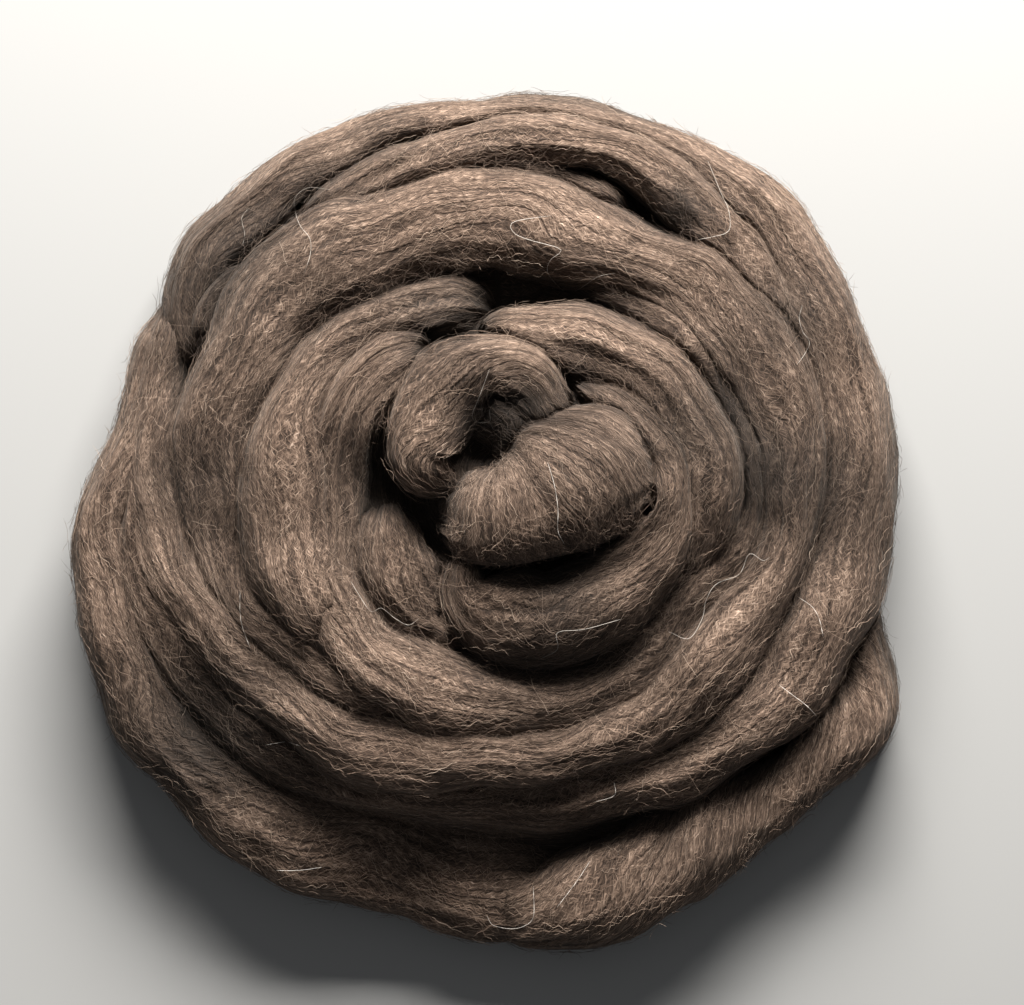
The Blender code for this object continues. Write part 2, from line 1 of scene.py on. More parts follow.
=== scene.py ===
"""Looks of the wool roving nest.

The nest is one combed length of undyed grey-brown wool, laid round and round. Each visible
turn is a soft swept surface with lengthwise pleats. Over it lie thousands of single fibres
along the lay, crimped strays that cross it, loose fuzz at the rims and pale guard hairs.
Sizes in the tables are in millimetres, as in the part's source.
"""
import math
from collections import namedtuple

import bpy
import numpy as np
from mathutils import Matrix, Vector
from mathutils.bvhtree import BVHTree


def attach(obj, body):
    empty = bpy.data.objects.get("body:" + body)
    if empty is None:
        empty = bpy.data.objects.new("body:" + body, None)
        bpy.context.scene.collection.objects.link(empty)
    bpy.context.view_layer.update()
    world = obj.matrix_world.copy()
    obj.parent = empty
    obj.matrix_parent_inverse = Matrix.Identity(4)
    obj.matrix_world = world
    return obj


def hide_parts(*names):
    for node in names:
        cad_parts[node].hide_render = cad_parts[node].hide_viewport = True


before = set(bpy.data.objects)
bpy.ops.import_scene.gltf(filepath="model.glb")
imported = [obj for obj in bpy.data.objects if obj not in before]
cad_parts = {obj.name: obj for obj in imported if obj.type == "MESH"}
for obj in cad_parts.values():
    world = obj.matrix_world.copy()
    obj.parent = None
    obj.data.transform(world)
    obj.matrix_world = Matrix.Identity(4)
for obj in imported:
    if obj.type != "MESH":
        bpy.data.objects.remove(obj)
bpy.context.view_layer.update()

MM = 0.001

# ---- sizes of the turns, millimetres ------------------------------------------------
EYE_X = 5.1  # middle of the coil from the frame's origin
EYE_Y = 15.75
PER_SPAN = 12  # points of the smooth curve between two rows of a table
STEP_ALONG = 2.2  # spacing of the rings along a turn
LEAST_STEPS = 6
AROUND = 48  # points round one ring
PHASE_STEP = 1.7  # shift of the pleats from one turn to the next, in radians
SOFT_POWER = 2.35  # roundness of a section, 2 is an ellipse
DEPTH_PER_WIDTH = 1.5  # how deep a turn is for its width, between the next two limits
DEPTH_LEAST = 18.0
DEPTH_MOST = 36.0
FLOOR_OVERLAP = 3.0  # how far the lowest turns would reach below the resting plane
END_ROUND = 13.0  # length over which an end is rounded off
END_FALL = 0.985  # most of that rounding, so that the last ring keeps some width
END_DIVE = 7.0  # how far an end sinks between its neighbours
PLEAT_PITCH = 7.5  # spacing of the lengthwise pleats over a turn
PLEAT_DEPTH = 1.5  # height of a pleat from its valley
PLEAT_START = 1.3  # share of the pleats at the start, cut to one; it falls to nothing
SWELL_LENGTH = 46.0  # length of the slow swelling along a turn
SWELL_DEPTH = 0.7  # how much the swelling lifts the crest
WANDER_SIDE = 1.3  # how far a turn strays to the side of its table
SPREAD_SHARE = 0.09  # how much a turn's width comes and goes
SWAY_SIDE = 1.6  # how far the pleats sway to the side
GROWTH_MEAN = 0.75  # height of the pleats: its mean, and how much it comes and goes
GROWTH_SHARE = 0.55
BED_AROUND = 240  # points round one ring of the bed
BED_RINGS = 76
BED_FIRST = 0.03  # share of the way out at which the bed's first ring lies
BED_FULL = 0.93  # share of the way out to which the bed follows the turns
BED_BELOW = 0.4  # how far it stays under them
FOOT_HEIGHT = 0.15  # the underside is pressed flat just above the resting plane
FOOT_MAP = 8.0  # how far the fibre map runs on down the bed's side

# Unevenness of a turn's skin: its length along the lay, its spacing round the turn, in how
# many parts that spacing is split, and its height.
Uneven = namedtuple("Uneven", "length spacing parts height")
UNEVEN = (Uneven(26.0, 3.4, 1, 0.5), Uneven(12.0, 3.4, 2, 0.35), Uneven(38.0, 13.0, 1, 1.3),
          Uneven(9.0, 13.0, 2, 0.6))
UNEVEN_SINK = 0.6  # how far the skin is drawn in, to make room for them

# Noises along a turn: length, row of the lattice and random seed.
Noise = namedtuple("Noise", "length row seed")
WANDER, SPREAD = Noise(19.0, 40.0, 12), Noise(15.0, 70.0, 13)
SWAY, GROWTH = Noise(30.0, 3.0, 11), Noise(22.0, 90.0, 14)
SEEDS_PER_TURN = 10
LATTICE = 512  # points along each side of the noise's lattice

# The turns of the coil, row by row: clock in degrees from the top of the picture, radius
# from the eye, width and height of the crest.
TURNS = {
    "outer_turn": (
        (298, 112.0, 8, 26), (290, 108.0, 18, 27), (280, 107.0, 20, 28), (270, 113.0, 18, 29),
        (262, 119.0, 20, 30), (255, 122.0, 22, 30), (240, 127.0, 25, 30), (225, 128.0, 27, 29),
        (217, 127.0, 30, 28), (210, 124.0, 33, 25), (200, 120.8, 35, 22), (190, 119.5, 36, 20),
        (180, 124.0, 36, 19), (172, 128.0, 32, 17), (166, 130.0, 22, 14),
    ),
    "tail": (
        (108, 112.0, 14, 16), (114, 118.0, 16, 20), (120, 127.0, 19, 24), (126, 131.0, 23, 26),
        (132, 130.5, 22, 26), (138, 129.0, 22, 26), (145, 127.5, 25, 26), (152, 128.0, 29, 27),
        (160, 128.5, 31, 27), (167, 130.0, 31, 26), (173, 132.0, 28, 24), (179, 134.0, 20, 20),
        (183, 135.0, 10, 14),
    ),
    "second_turn": (
        (285, 92.0, 12, 24), (292, 98.0, 18, 28), (300, 105.0, 20, 30), (307, 109.0, 20, 31),
        (315, 108.0, 19, 31), (330, 107.0, 16, 32), (345, 106.6, 14, 32), (360, 106.5, 13, 32),
        (380, 106.8, 15, 31), (400, 108.0, 20, 31), (420, 106.0, 23, 32), (440, 106.2, 24, 33),
        (460, 107.0, 25, 34), (470, 107.5, 25, 34), (482, 106.5, 28, 36), (494, 106.0, 26, 36),
        (504, 104.5, 23, 35), (520, 100.5, 21, 33), (535, 98.5, 22, 31), (550, 98.5, 21, 30),
        (563, 101.0, 20, 30), (576, 105.5, 23, 31), (588, 108.6, 25, 32), (600, 110.0, 24, 32),
        (612, 110.0, 22, 32), (624, 108.5, 17, 30), (635, 105.0, 8, 27),
    ),
    "top_strand": (
        (306, 91.0, 8, 28), (318, 92.5, 10, 33), (330, 93.5, 11, 37), (345, 95.0, 12, 39),
        (362, 99.0, 13, 40), (378, 99.8, 13, 40), (390, 98.6, 15, 40), (402, 98.0, 14, 36),
        (414, 97.5, 12, 32), (426, 97.0, 7, 26),
    ),
    "gap_strand": (
        (350, 90.5, 6, 36), (365, 90.2, 6, 36), (380, 87.0, 6, 36), (388, 84.0, 5, 35),
    ),
    "broad_turn": (
        (200, 73.0, 10, 38), (208, 75.0, 14, 41), (220, 77.5, 17, 42), (232, 80.5, 17, 40),
        (243, 85.0, 17, 37), (253, 87.0, 19, 35), (264, 86.3, 23, 36), (278, 85.0, 25, 40),
        (292, 82.5, 25, 43), (306, 81.5, 28, 45), (320, 79.0, 29, 46), (340, 75.5, 28, 46),
        (360, 74.5, 29, 45), (376, 72.4, 27, 45), (392, 73.5, 21, 45), (408, 79.0, 23, 43),
        (424, 83.5, 25, 41), (440, 85.6, 22, 40), (458, 88.4, 19, 39), (470, 87.5, 19, 40),
        (482, 83.7, 22, 41), (494, 84.2, 22, 43), (506, 86.0, 20, 41), (524, 85.0, 18, 40),
        (542, 86.0, 17, 42), (556, 89.2, 20, 44), (573, 92.0, 21, 43), (590, 96.3, 20, 39),
        (606, 101.2, 18, 37), (622, 106.0, 17, 34), (640, 107.0, 16, 31), (656, 110.0, 8, 27),
    ),
    "inner_right": (
        (382, 58.0, 8, 32), (394, 62.0, 11, 36), (408, 65.8, 14, 38), (422, 67.5, 15, 37),
        (436, 71.3, 14, 35), (450, 75.0, 13, 34), (462, 76.0, 14, 36), (472, 73.5, 15, 38),
        (482, 68.4, 15, 40), (496, 69.0, 15, 39), (512, 70.5, 17, 39), (530, 70.0, 20, 41),
        (548, 68.5, 23, 45), (566, 68.4, 24, 47), (580, 68.0, 24, 46), (594, 62.0, 21, 45),
        (608, 55.0, 19, 44), (622, 50.0, 18, 44), (638, 48.0, 17, 46), (654, 47.0, 17, 50),
        (672, 44.6, 16, 51), (690, 41.0, 10, 48),
    ),
    "left_ring": (
        (222, 67.0, 14, 42), (231, 67.5, 22, 47), (242, 67.5, 25, 48), (255, 65.5, 25, 48),
        (270, 63.5, 24, 48), (285, 63.0, 21, 48), (300, 61.3, 18, 46), (316, 58.0, 17, 43),
        (332, 53.5, 15, 42), (346, 50.5, 14, 42), (359, 46.5, 8, 38),
    ),
    "right_ring": (
        (350, 38.0, 10, 48), (360, 41.0, 13, 52), (375, 43.6, 15, 53), (392, 47.0, 18, 53),
        (410, 51.0, 18, 52), (424, 54.5, 18, 52), (438, 59.0, 18, 51), (450, 63.0, 19, 50),
        (462, 64.2, 17, 48), (474, 64.0, 14, 44), (486, 65.0, 9, 38),
    ),
    "crescent": (
        (400, 34.0, 8, 45), (416, 38.0, 10, 49), (432, 42.6, 12, 51), (448, 48.2, 14, 51),
        (462, 51.5, 13, 52), (476, 51.2, 17, 52), (490, 49.8, 21, 51), (504, 48.0, 25, 51),
        (520, 46.8, 27, 51), (536, 44.2, 28, 50), (548, 41.5, 23, 49), (557, 38.0, 15, 47),
        (561, 31.0, 11, 45), (562, 24.0, 8, 42),
    ),
    "small_lobe": (
        (258, 35.5, 9, 36), (250, 36.5, 16, 42), (239, 39.0, 21, 45), (228, 42.5, 24, 46),
        (217, 45.0, 24, 45), (206, 47.0, 20, 42), (196, 49.0, 14, 38),
    ),
}

# The knob over the eye and a pleat at the rim: x and y from the eye, width and crest.
KNOB = {
    "knob_wrap": (
        (-9.0, -3.5, 12, 49), (-17.0, -3.0, 16, 54), (-23.0, 2.0, 20, 57), (-21.5, 11.0, 26, 59),
        (-17.0, 19.5, 29, 60), (-12.0, 26.5, 27, 61), (-4.0, 30.5, 21, 62), (4.5, 29.5, 20, 61),
        (10.5, 25.0, 19, 59), (14.0, 18.5, 18, 56), (17.0, 12.0, 17, 52), (18.5, 5.0, 12, 46),
    ),
    "knob_inner": (
        (-16.0, 20.0, 14, 42), (-7.0, 18.0, 22, 47), (2.0, 16.0, 25, 48), (9.0, 10.0, 23, 48),
        (15.0, 1.0, 14, 44),
    ),
    "pleat_lobe": (
        (-70.0, 65.0, 7, 29), (-79.0, 58.0, 9, 32), (-85.5, 50.0, 9, 32), (-89.0, 42.0, 8, 30),
        (-90.0, 32.0, 6, 26),
    ),
    "puff": (
        (-20.0, -13.0, 20, 50), (-11.0, -14.0, 28, 56), (0.0, -13.0, 32, 60),
        (10.0, -10.0, 38, 62), (20.0, -5.0, 46, 64), (30.0, -1.5, 43, 62), (39.5, 0.0, 35, 59),
        (48.5, 0.0, 23, 55),
    ),
}

# How far the fibres and pleats of a turn lie off its path: rows of a share of its length
# and an angle in degrees. A turn that isn't named has the slight lean of a combed length.
LEANS = {
    "tail": ((0.0, -8), (0.2, -30), (0.45, -44), (0.65, -38), (0.85, -14), (1.0, -4)),
    "outer_turn": ((0.0, 4), (0.5, -6), (1.0, 8)),
    "knob_wrap": ((0.0, 26), (0.3, 20), (0.42, 0), (0.6, -16), (1.0, -10)),
}
PLAIN_LEAN = ((0.0, 2), (1.0, 2))
# How much wider a turn really is than what shows of it between its neighbours.
PLAIN_OVERLAP = 1.18
# Turns at the rim, which reach down to the resting plane however narrow they are.
GROUNDED = ("outer_turn", "tail", "second_turn")
OVERLAPS = {
    "outer_turn": 1.02, "tail": 1.02, "second_turn": 1.06, "knob_wrap": 1.0, "knob_inner": 1.0,
    "puff": 1.0,
}

# Pleats that differ from the rest: spacing, height and the share of the length at which
# they have faded out; a fade over 1 leaves them to the end.
Pleat = namedtuple("Pleat", "pitch depth fade")
PLEATS = {
    "tail": Pleat(15.0, 3.0, 0.6),
    "puff": Pleat(20.0, 0.0, 9.0),
    "broad_turn": Pleat(6.5, 1.5, 9.0),
    "knob_wrap": Pleat(7.5, 0.8, 9.0),
}
PLAIN_PLEAT = Pleat(PLEAT_PITCH, PLEAT_DEPTH, 9.0)

# Bed under the turns. Its rim follows the nest, by clock and radius; its height is given by
# the share of the way out to the rim.
BED_RIM = (
    (0, 105), (45, 107), (90, 108), (118, 114), (145, 124), (180, 128), (210, 128), (240, 126),
    (265, 116), (290, 105), (330, 105), (360, 105),
)
BED_LEVELS = (
    (0.0, 40), (0.14, 40), (0.22, 30), (0.34, 33), (0.48, 27), (0.56, 27), (0.68, 28), (0.78, 24),
    (0.86, 17), (0.93, 10), (1.0, 4),
)

# Matting: where neighbouring turns cling together and the crease between them is filled,
# by x and y from the eye, reach and share. A share below nothing keeps a gap open.
PLAIN_MATTED = 0.42
UNEVEN_MATTED = 0.28  # how much the plain share rises and falls over the nest
UNEVEN_LENGTH = 8.5  # length over which it does so, for one radian
UNEVEN_SKEW = (0.5, 0.3)  # how far its two waves lie off the picture's sides
MATTED = (
    (-111, -3, 28, 0.6), (-101, -30, 28, 0.6), (-87, -63, 26, 0.3), (-60, -92, 24, 0.3),
    (-56, -6, 15, 0.6), (-56, 14, 11, 0.4), (-88, 12, 14, 0.3), (66, 63, 17, 0.6),
    (80, 46, 20, 0.6), (90, 20, 18, 0.5), (25, 10, 15, 1.0), (92, 50, 16, 0.6), (94, 20, 16, 0.6),
    (-84, 76, 16, 0.5), (-81, 49, 9, -0.7), (-15, 98, 26, 0.15), (12, 57, 13, -0.8),
    (-5, 7, 5, -0.5), (0, 18, 9, 0.6), (46, -9, 8, 0.9), (-15, -44, 13, 0.8), (-50, -44, 10, 0.6),
    (-40, -3, 10, -0.7), (8, -32, 18, -0.6), (10, -60, 22, -0.5), (18, -108, 26, -0.5),
    (60, -102, 22, -0.5), (98, -68, 14, -0.5), (46, 74, 13, -0.7), (-92, 30, 8, -0.5),
    (-77, -30, 14, -0.4), (-20, 66, 16, -0.6), (-48, 49, 15, -0.5), (-32, 99, 13, -0.6),
    (-58, 84, 13, 0.2), (20, 88, 20, -0.4), (76, 58, 12, 0.5),
)
CELL = 1.0  # spacing of the height map on which the matting is worked out
MAP_REACH = 142.0  # the map reaches this far from the origin each way
JUST_INSIDE = 1.001  # keeps a place inside the last cell of a grid
MAP_PARTS = 6  # places from one point of a turn to the next that are put on the map
BALL_RADIUS = 20.0  # radius of the ball that just lies in a fully matted crease
BALL_REACH = 20  # cells round a place that the ball is tried on
FILL_MOST = 22.0  # deepest filling
FILL_START = 1.5  # share of the filling at the surface, cut to one
FILL_FADE = 3.0  # depth over which that share falls by one
# Painted shade in creases and hollows: wool that lies deep under a wide rolled ball is painted
# darker, standing for the shade that falls there.
SHADE_BALL_RADIUS = 45.0  # ball under whose surface a point's depth sets the painted shade in creases
SHADE_BALL_REACH = 30
SHADE_FULL_DEPTH = 13.0  # depth at which the painted shade is darkest

# Painted shade: places where the wool's colour is darkened to stand for the shade that falls there,
# or lightened as painted light with a share below nothing: x and y from the eye, reach and share.
PAINTED_SHADE_SPOTS = (
    (-92, 56, 26, 0.68), (-92, -4, 16, 0.55), (-92, -80, 26, 0.85), (103, -8, 22, 0.52),
    (80, 0, 14, 0.48), (60, 14, 16, 0.6), (6, -62, 16, 0.25), (20, -40, 14, 0.6),
    (-20, -88, 14, -0.3), (108, -78, 14, -0.3), (-14, 36, 13, 0.34), (30, 2, 18, 0.26),
    (-34, 98, 10, 0.4), (-54, 85, 11, 0.5), (-72, 72, 13, 0.35), (-3, 13, 8, 1.3),
    (7, 19, 6, 0.8), (54, 77, 9, 0.75), (88, 46, 18, 0.55), (12, -27, 9, -0.25),
    (18, -18, 9, -0.2), (15, 18, 7, 0.35), (60, -112, 14, 0.15), (16, -4, 14, 0.08),
    (-8, 78, 16, -0.1), (-46, 49, 12, 0.2), (-6, 97, 13, 0.14), (23, 27, 6, 0.4),
)

# A turn whose fibres lie over it, from one side to the other, instead of along it: where
# on its length they come together, and how close, as a share of their widest spread.
Fan = namedtuple("Fan", "centre closest")
FANS = {"puff": Fan(0.34, 0.3)}
FAN_START = 0.25  # share of the girth at which the fan begins to spread
FAN_OVER = 0.4  # share of the girth over which it does
MAP_OFFSET = 0.37  # shift of the fibre map from one turn to the next, in metres


# ---- curves --------------------------------------------------------------------------
def smooth_rows(rows, per_span):
    """Pass a Catmull-Rom curve through the rows of a table, per_span points to a span."""
    knots = np.asarray(rows, dtype=float)
    padded = np.vstack([2.0 * knots[0] - knots[1], knots, 2.0 * knots[-1] - knots[-2]])
    share = np.linspace(0.0, 1.0, per_span, endpoint=False)[:, None]
    spans = []
    for index in range(1, len(padded) - 2):
        before, here, after, beyond = padded[index - 1:index + 3]
        linear = after - before
        square = 2.0 * before - 5.0 * here + 4.0 * after - beyond
        cubic = 3.0 * here - before - 3.0 * after + beyond
        curve = 2.0 * here + linear * share + square * share ** 2 + cubic * share ** 3
        spans.append(0.5 * curve)
    return np.vstack(spans + [knots[-1:]])


def even_rows(rows, step):
    """Space a dense curve evenly by its length in plan."""
    gaps = np.linalg.norm(np.diff(rows[:, :2], axis=0), axis=1)
    length = np.concatenate([[0.0], np.cumsum(gaps)])
    count = max(int(round(length[-1] / step)), LEAST_STEPS)
    marks = np.linspace(0.0, length[-1], count + 1)
    columns = [np.interp(marks, length, rows[:, column]) for column in range(rows.shape[1])]
    return np.stack(columns, axis=1), marks


def polar_to_flat(rows):
    """Clock and radius to x and y: x is the radius times the sine, y times the cosine."""
    flat = rows.copy()
    angle = np.radians(rows[:, 0])
    flat[:, 0] = EYE_X + rows[:, 1] * np.sin(angle)
    flat[:, 1] = EYE_Y + rows[:, 1] * np.cos(angle)
    return flat


def spots_to_flat(rows):
    """Move x and y from the eye to the frame."""
    flat = rows.copy()
    flat[:, 0] += EYE_X
    flat[:, 1] += EYE_Y
    return flat


def soft_noise(x, y, seed, wrap=0):
    """Smooth value noise from -1 to 1 over whole arrays.

    Every lattice point has a fixed random height; between four of them the height is
    blended with the smoothstep of the distance. With wrap the y lattice repeats.
    """
    cell_x = np.floor(x).astype(int)
    cell_y = np.floor(y).astype(int)
    part_x = x - cell_x
    part_y = y - cell_y
    part_x = part_x * part_x * (3.0 - 2.0 * part_x)
    part_y = part_y * part_y * (3.0 - 2.0 * part_y)
    lattice = np.random.default_rng(seed).uniform(-1.0, 1.0, (LATTICE, LATTICE))

    def height(step_x, step_y):
        row = cell_y + step_y
        if wrap:
            row = row % wrap
        return lattice[(cell_x + step_x) % LATTICE, row % LATTICE]

    low = height(0, 0) * (1.0 - part_x) + height(1, 0) * part_x
    high = height(0, 1) * (1.0 - part_x) + height(1, 1) * part_x
    return low * (1.0 - part_y) + high * part_y


def noise_along(turn, noise):
    """Smooth noise from -1 to 1 along a turn, from its own row of the lattice."""
    row = np.full_like(turn.marks, noise.row + turn.number)
    return soft_noise(turn.marks / noise.length, row, noise.seed)


def unit(vectors):
    """Vectors divided by their length."""
    return vectors / np.maximum(np.linalg.norm(vectors, axis=-1, keepdims=True), 1e-12)


def with_bells(share, table, x, y):
    """Add the bell of each place of a table: its share times exp(-(distance / reach)^2)."""
    for place_x, place_y, reach, most in table:
        distance = np.hypot(x - EYE_X - place_x, y - EYE_Y - place_y)
        share = share + most * np.exp(-(distance / reach) ** 2)
    return share


# ---- soft turns ----------------------------------------------------------------------
class Turn:
    """One swept turn: grids of points and outward normals, and how its fibres run.

    drift is how far the lay has moved round the turn at each ring, in metres: the sum of
    the tangent of the lean over the length.
    """

    def __init__(self, name, rows, number):
        self.name = name
        self.number = number
        even, marks = even_rows(rows, STEP_ALONG)
        lean = np.asarray(LEANS.get(name, PLAIN_LEAN), dtype=float)
        angle = np.radians(np.interp(marks / marks[-1], lean[:, 0], lean[:, 1]))
        self.marks = marks
        self.length = marks[-1]
        self.drift = np.cumsum(np.tan(angle) * np.gradient(marks)) * MM
        self.fan = FANS.get(name)
        self.points = swept_grid(self, even)
        self.normals = None
        self.girth = 0.0


def swept_grid(turn, rows):
    """Rings of a soft turn, in metres.

    Across the path a ring is a superellipse, side = cos^p and rise = sin^p. Its top keeps
    the crest height of the table. Cosine pleats follow the lay over the upper half; value
    noise, long along the lay and short across, gives the sub-strands, and a slow one makes
    the turn uneven.
    """
    marks = turn.marks
    phase = PHASE_STEP * turn.number
    along = unit(np.gradient(rows[:, :2], axis=0))
    across = np.stack([-along[:, 1], along[:, 0]], axis=1)
    spread = 1.0 + SPREAD_SHARE * noise_along(turn, SPREAD)
    rows = rows.copy()
    rows[:, :2] += WANDER_SIDE * noise_along(turn, WANDER)[:, None] * across
    width = rows[:, 2] * spread * OVERLAPS.get(turn.name, PLAIN_OVERLAP)
    crest = rows[:, 3] + SWELL_DEPTH * np.sin(2.0 * math.pi * marks / SWELL_LENGTH + phase)
    depth = crest + FLOOR_OVERLAP
    if turn.name not in GROUNDED:
        round_depth = np.clip(DEPTH_PER_WIDTH * width, DEPTH_LEAST, DEPTH_MOST)
        depth = np.minimum(round_depth, depth)
    end_gap = np.minimum(marks, marks[-1] - marks)
    fall = np.clip(1.0 - end_gap / END_ROUND, 0.0, END_FALL)
    rounding = np.sqrt(1.0 - fall ** 2)
    angle = np.linspace(-0.5 * math.pi, 1.5 * math.pi, AROUND, endpoint=False)
    power = 2.0 / SOFT_POWER
    side = np.sign(np.cos(angle)) * np.abs(np.cos(angle)) ** power
    rise = np.sign(np.sin(angle)) * np.abs(np.sin(angle)) ** power
    reach = 0.5 * width[:, None] * side[None, :]
    lay = reach - turn.drift[:, None] / MM
    sway = SWAY_SIDE * noise_along(turn, SWAY)
    pitch, depth_most, fade = PLEATS.get(turn.name, PLAIN_PLEAT)
    growth = depth_most * np.clip(PLEAT_START - PLEAT_START * marks / marks[-1] / fade, 0.0, 1.0)
    growth = (growth * (GROWTH_MEAN + GROWTH_SHARE * noise_along(turn, GROWTH)))[:, None]
    pleat = growth * np.cos(2.0 * math.pi * (lay + sway[:, None]) / pitch + phase)
    pleat *= np.clip(rise, 0.0, 1.0)[None, :]
    pleat *= np.clip((width[:, None] - PLEAT_PITCH) / PLEAT_PITCH, 0.0, 1.0)
    height = crest[:, None] - 0.5 * depth[:, None] * (1.0 - rise[None, :] * rounding[:, None])
    height += 0.5 * (pleat - growth) - END_DIVE * (fall ** 2)[:, None]
    reach = reach * rounding[:, None]
    x = rows[:, 0:1] + across[:, 0:1] * reach
    y = rows[:, 1:2] + across[:, 1:2] * reach
    points = np.stack([x, y, height], axis=2) * MM
    points += grid_normals(points) * uneven_push(turn, points)[:, :, None] * MM
    points[:, :, 2] = np.maximum(points[:, :, 2], FOOT_HEIGHT * MM)
    return points


def uneven_push(turn, points):
    """How far each point is pushed out: the sum of the table's noises over the lay."""
    girth = float(ring_girth(points).mean()) / MM
    share = np.linspace(0.0, 1.0, AROUND, endpoint=False)[None, :]
    share = share - turn.drift[:, None] / MM / girth
    along_map = turn.marks[:, None] + 0.0 * share
    push = 0.0
    for step, uneven in enumerate(UNEVEN, 1):
        count = uneven.parts * max(int(round(girth / uneven.spacing)), 2)
        seed = SEEDS_PER_TURN * turn.number + step
        noise = soft_noise(along_map / uneven.length, share * count, seed, count)
        push = push + uneven.height * noise
    return push - UNEVEN_SINK


def ring_girth(points):
    """Length round each ring: the sum of the distances between its points."""
    return np.linalg.norm(np.roll(points, -1, axis=1) - points, axis=2).sum(axis=1)


def grid_normals(points):
    """Outward normals: the cross product of the steps round and along the grid."""
    along = np.gradient(points, axis=0)
    around = np.roll(points, -1, axis=1) - np.roll(points, 1, axis=1)
    normals = np.cross(along, around)
    middle = points.mean(axis=1, keepdims=True)
    facing = np.sum(normals * (points - middle), axis=(1, 2))
    normals *= np.sign(facing)[:, None, None]
    return unit(normals)


# ---- matting -------------------------------------------------------------------------
def bed_height(x, y):
    """Height of the bed at a place: its level at the share of the way out to the rim."""
    rim = np.asarray(BED_RIM, dtype=float)
    levels = np.asarray(BED_LEVELS, dtype=float)
    clock = np.degrees(np.arctan2(x - EYE_X, y - EYE_Y)) % 360.0
    share = np.hypot(x - EYE_X, y - EYE_Y) / np.interp(clock, rim[:, 0], rim[:, 1])
    return np.interp(share, levels[:, 0], levels[:, 1], right=0.0)


def height_map(grids):
    """Highest of the bed and of the upper halves of the turns in every cell."""
    cells = int(2.0 * MAP_REACH / CELL) + 1
    places = np.linspace(-MAP_REACH, MAP_REACH, cells)
    top = bed_height(places[:, None], places[None, :])
    for points in grids:
        upper = points[:, AROUND // 4:3 * AROUND // 4 + 1]
        for step in np.arange(MAP_PARTS) / MAP_PARTS:
            between = upper[:-1] * (1.0 - step) + upper[1:] * step
            for part in np.arange(MAP_PARTS) / MAP_PARTS:
                spot = between[:, :-1] * (1.0 - part) + between[:, 1:] * part
                spot = spot.reshape(-1, 3)
                cell = np.rint((spot[:, :2] + MAP_REACH) / CELL).astype(int)
                np.maximum.at(top, (cell[:, 0], cell[:, 1]), spot[:, 2])
    return top


def spread_map(field, radius, reach):
    """Lift every cell to the highest paraboloid cap that stands on a cell nearby."""
    for axis in (0, 1):
        base = field
        field = base.copy()
        for step in range(1, reach + 1):
            drop = (step * CELL) ** 2 / (2.0 * radius)
            for way in (-step, step):
                field = np.maximum(field, np.roll(base, way, axis=axis) - drop)
    return field


def ball_surface(field, radius, reach):
    """Lowest surface that a ball of that radius reaches when it rolls over the map."""
    return -spread_map(-spread_map(field, radius, reach), radius, reach)


def even_map(field):
    """Mean of every cell and its eight neighbours."""
    for axis in (0, 1):
        field = (np.roll(field, 1, axis=axis) + field + np.roll(field, -1, axis=axis)) / 3.0
    return field


def map_at(field, x, y):
    """Blend the map between its cells at any places."""
    column = np.clip((x + MAP_REACH) / CELL, 0, field.shape[0] - JUST_INSIDE)
    row = np.clip((y + MAP_REACH) / CELL, 0, field.shape[1] - JUST_INSIDE)
    left, low = column.astype(int), row.astype(int)
    over, up = column - left, row - low
    near = field[left, low] * (1.0 - over) + field[left + 1, low] * over
    far = field[left, low + 1] * (1.0 - over) + field[left + 1, low + 1] * over
    return near * (1.0 - up) + far * up


def matted_share(x, y):
    """How fully a crease is filled: the plain share plus a bell for each row of the table."""
    first = np.sin((x + UNEVEN_SKEW[0] * y) / UNEVEN_LENGTH)
    wave = first * np.sin((y - UNEVEN_SKEW[1] * x) / UNEVEN_LENGTH)
    return np.clip(with_bells(PLAIN_MATTED + UNEVEN_MATTED * wave, MATTED, x, y), 0.0, 1.0)


def matted_grids(grids):
    """Lift the turns in the creases towards the ball's surface, by the matted share.

    Returns the lifted grids and the map of the whole upper surface.
    """
    top = height_map(grids)
    fill = np.clip(ball_surface(top, BALL_RADIUS, BALL_REACH) - top, 0.0, FILL_MOST)
    fill = even_map(np.where(top > 0.0, fill, 0.0))
    settled = []
    for points in grids:
        x, y, z = points[:, :, 0], points[:, :, 1], points[:, :, 2]
        near = np.clip(FILL_START - (map_at(top, x, y) - z) / FILL_FADE, 0.0, 1.0)
        lift = matted_share(x, y) * map_at(fill, x, y) * near
        settled.append(np.stack([x, y, z + lift], axis=2))
    places = np.linspace(-MAP_REACH, MAP_REACH, len(top))
    return settled, top + matted_share(places[:, None], places[None, :]) * fill


def lowest_near(field):
    """Lowest of every cell and its eight neighbours."""
    for axis in (0, 1):
        low = np.minimum(np.roll(field, 1, axis=axis), np.roll(field, -1, axis=axis))
        field = np.minimum(field, low)
    return field


def all_turns():
    """Every visible turn, matted to its neighbours, and the map of their upper surface."""
    turns = []
    for number, (name, rows) in enumerate(TURNS.items()):
        turns.append(Turn(name, polar_to_flat(smooth_rows(rows, PER_SPAN)), number))
    for number, (name, rows) in enumerate(KNOB.items(), len(TURNS)):
        turns.append(Turn(name, spots_to_flat(smooth_rows(rows, PER_SPAN)), number))
    grids, surface = matted_grids([turn.points / MM for turn in turns])
    for turn, points in zip(turns, grids):
        turn.points = points * MM
        turn.normals = grid_normals(turn.points)
        turn.girth = float(np.mean(ring_girth(turn.points)))
    return turns, surface


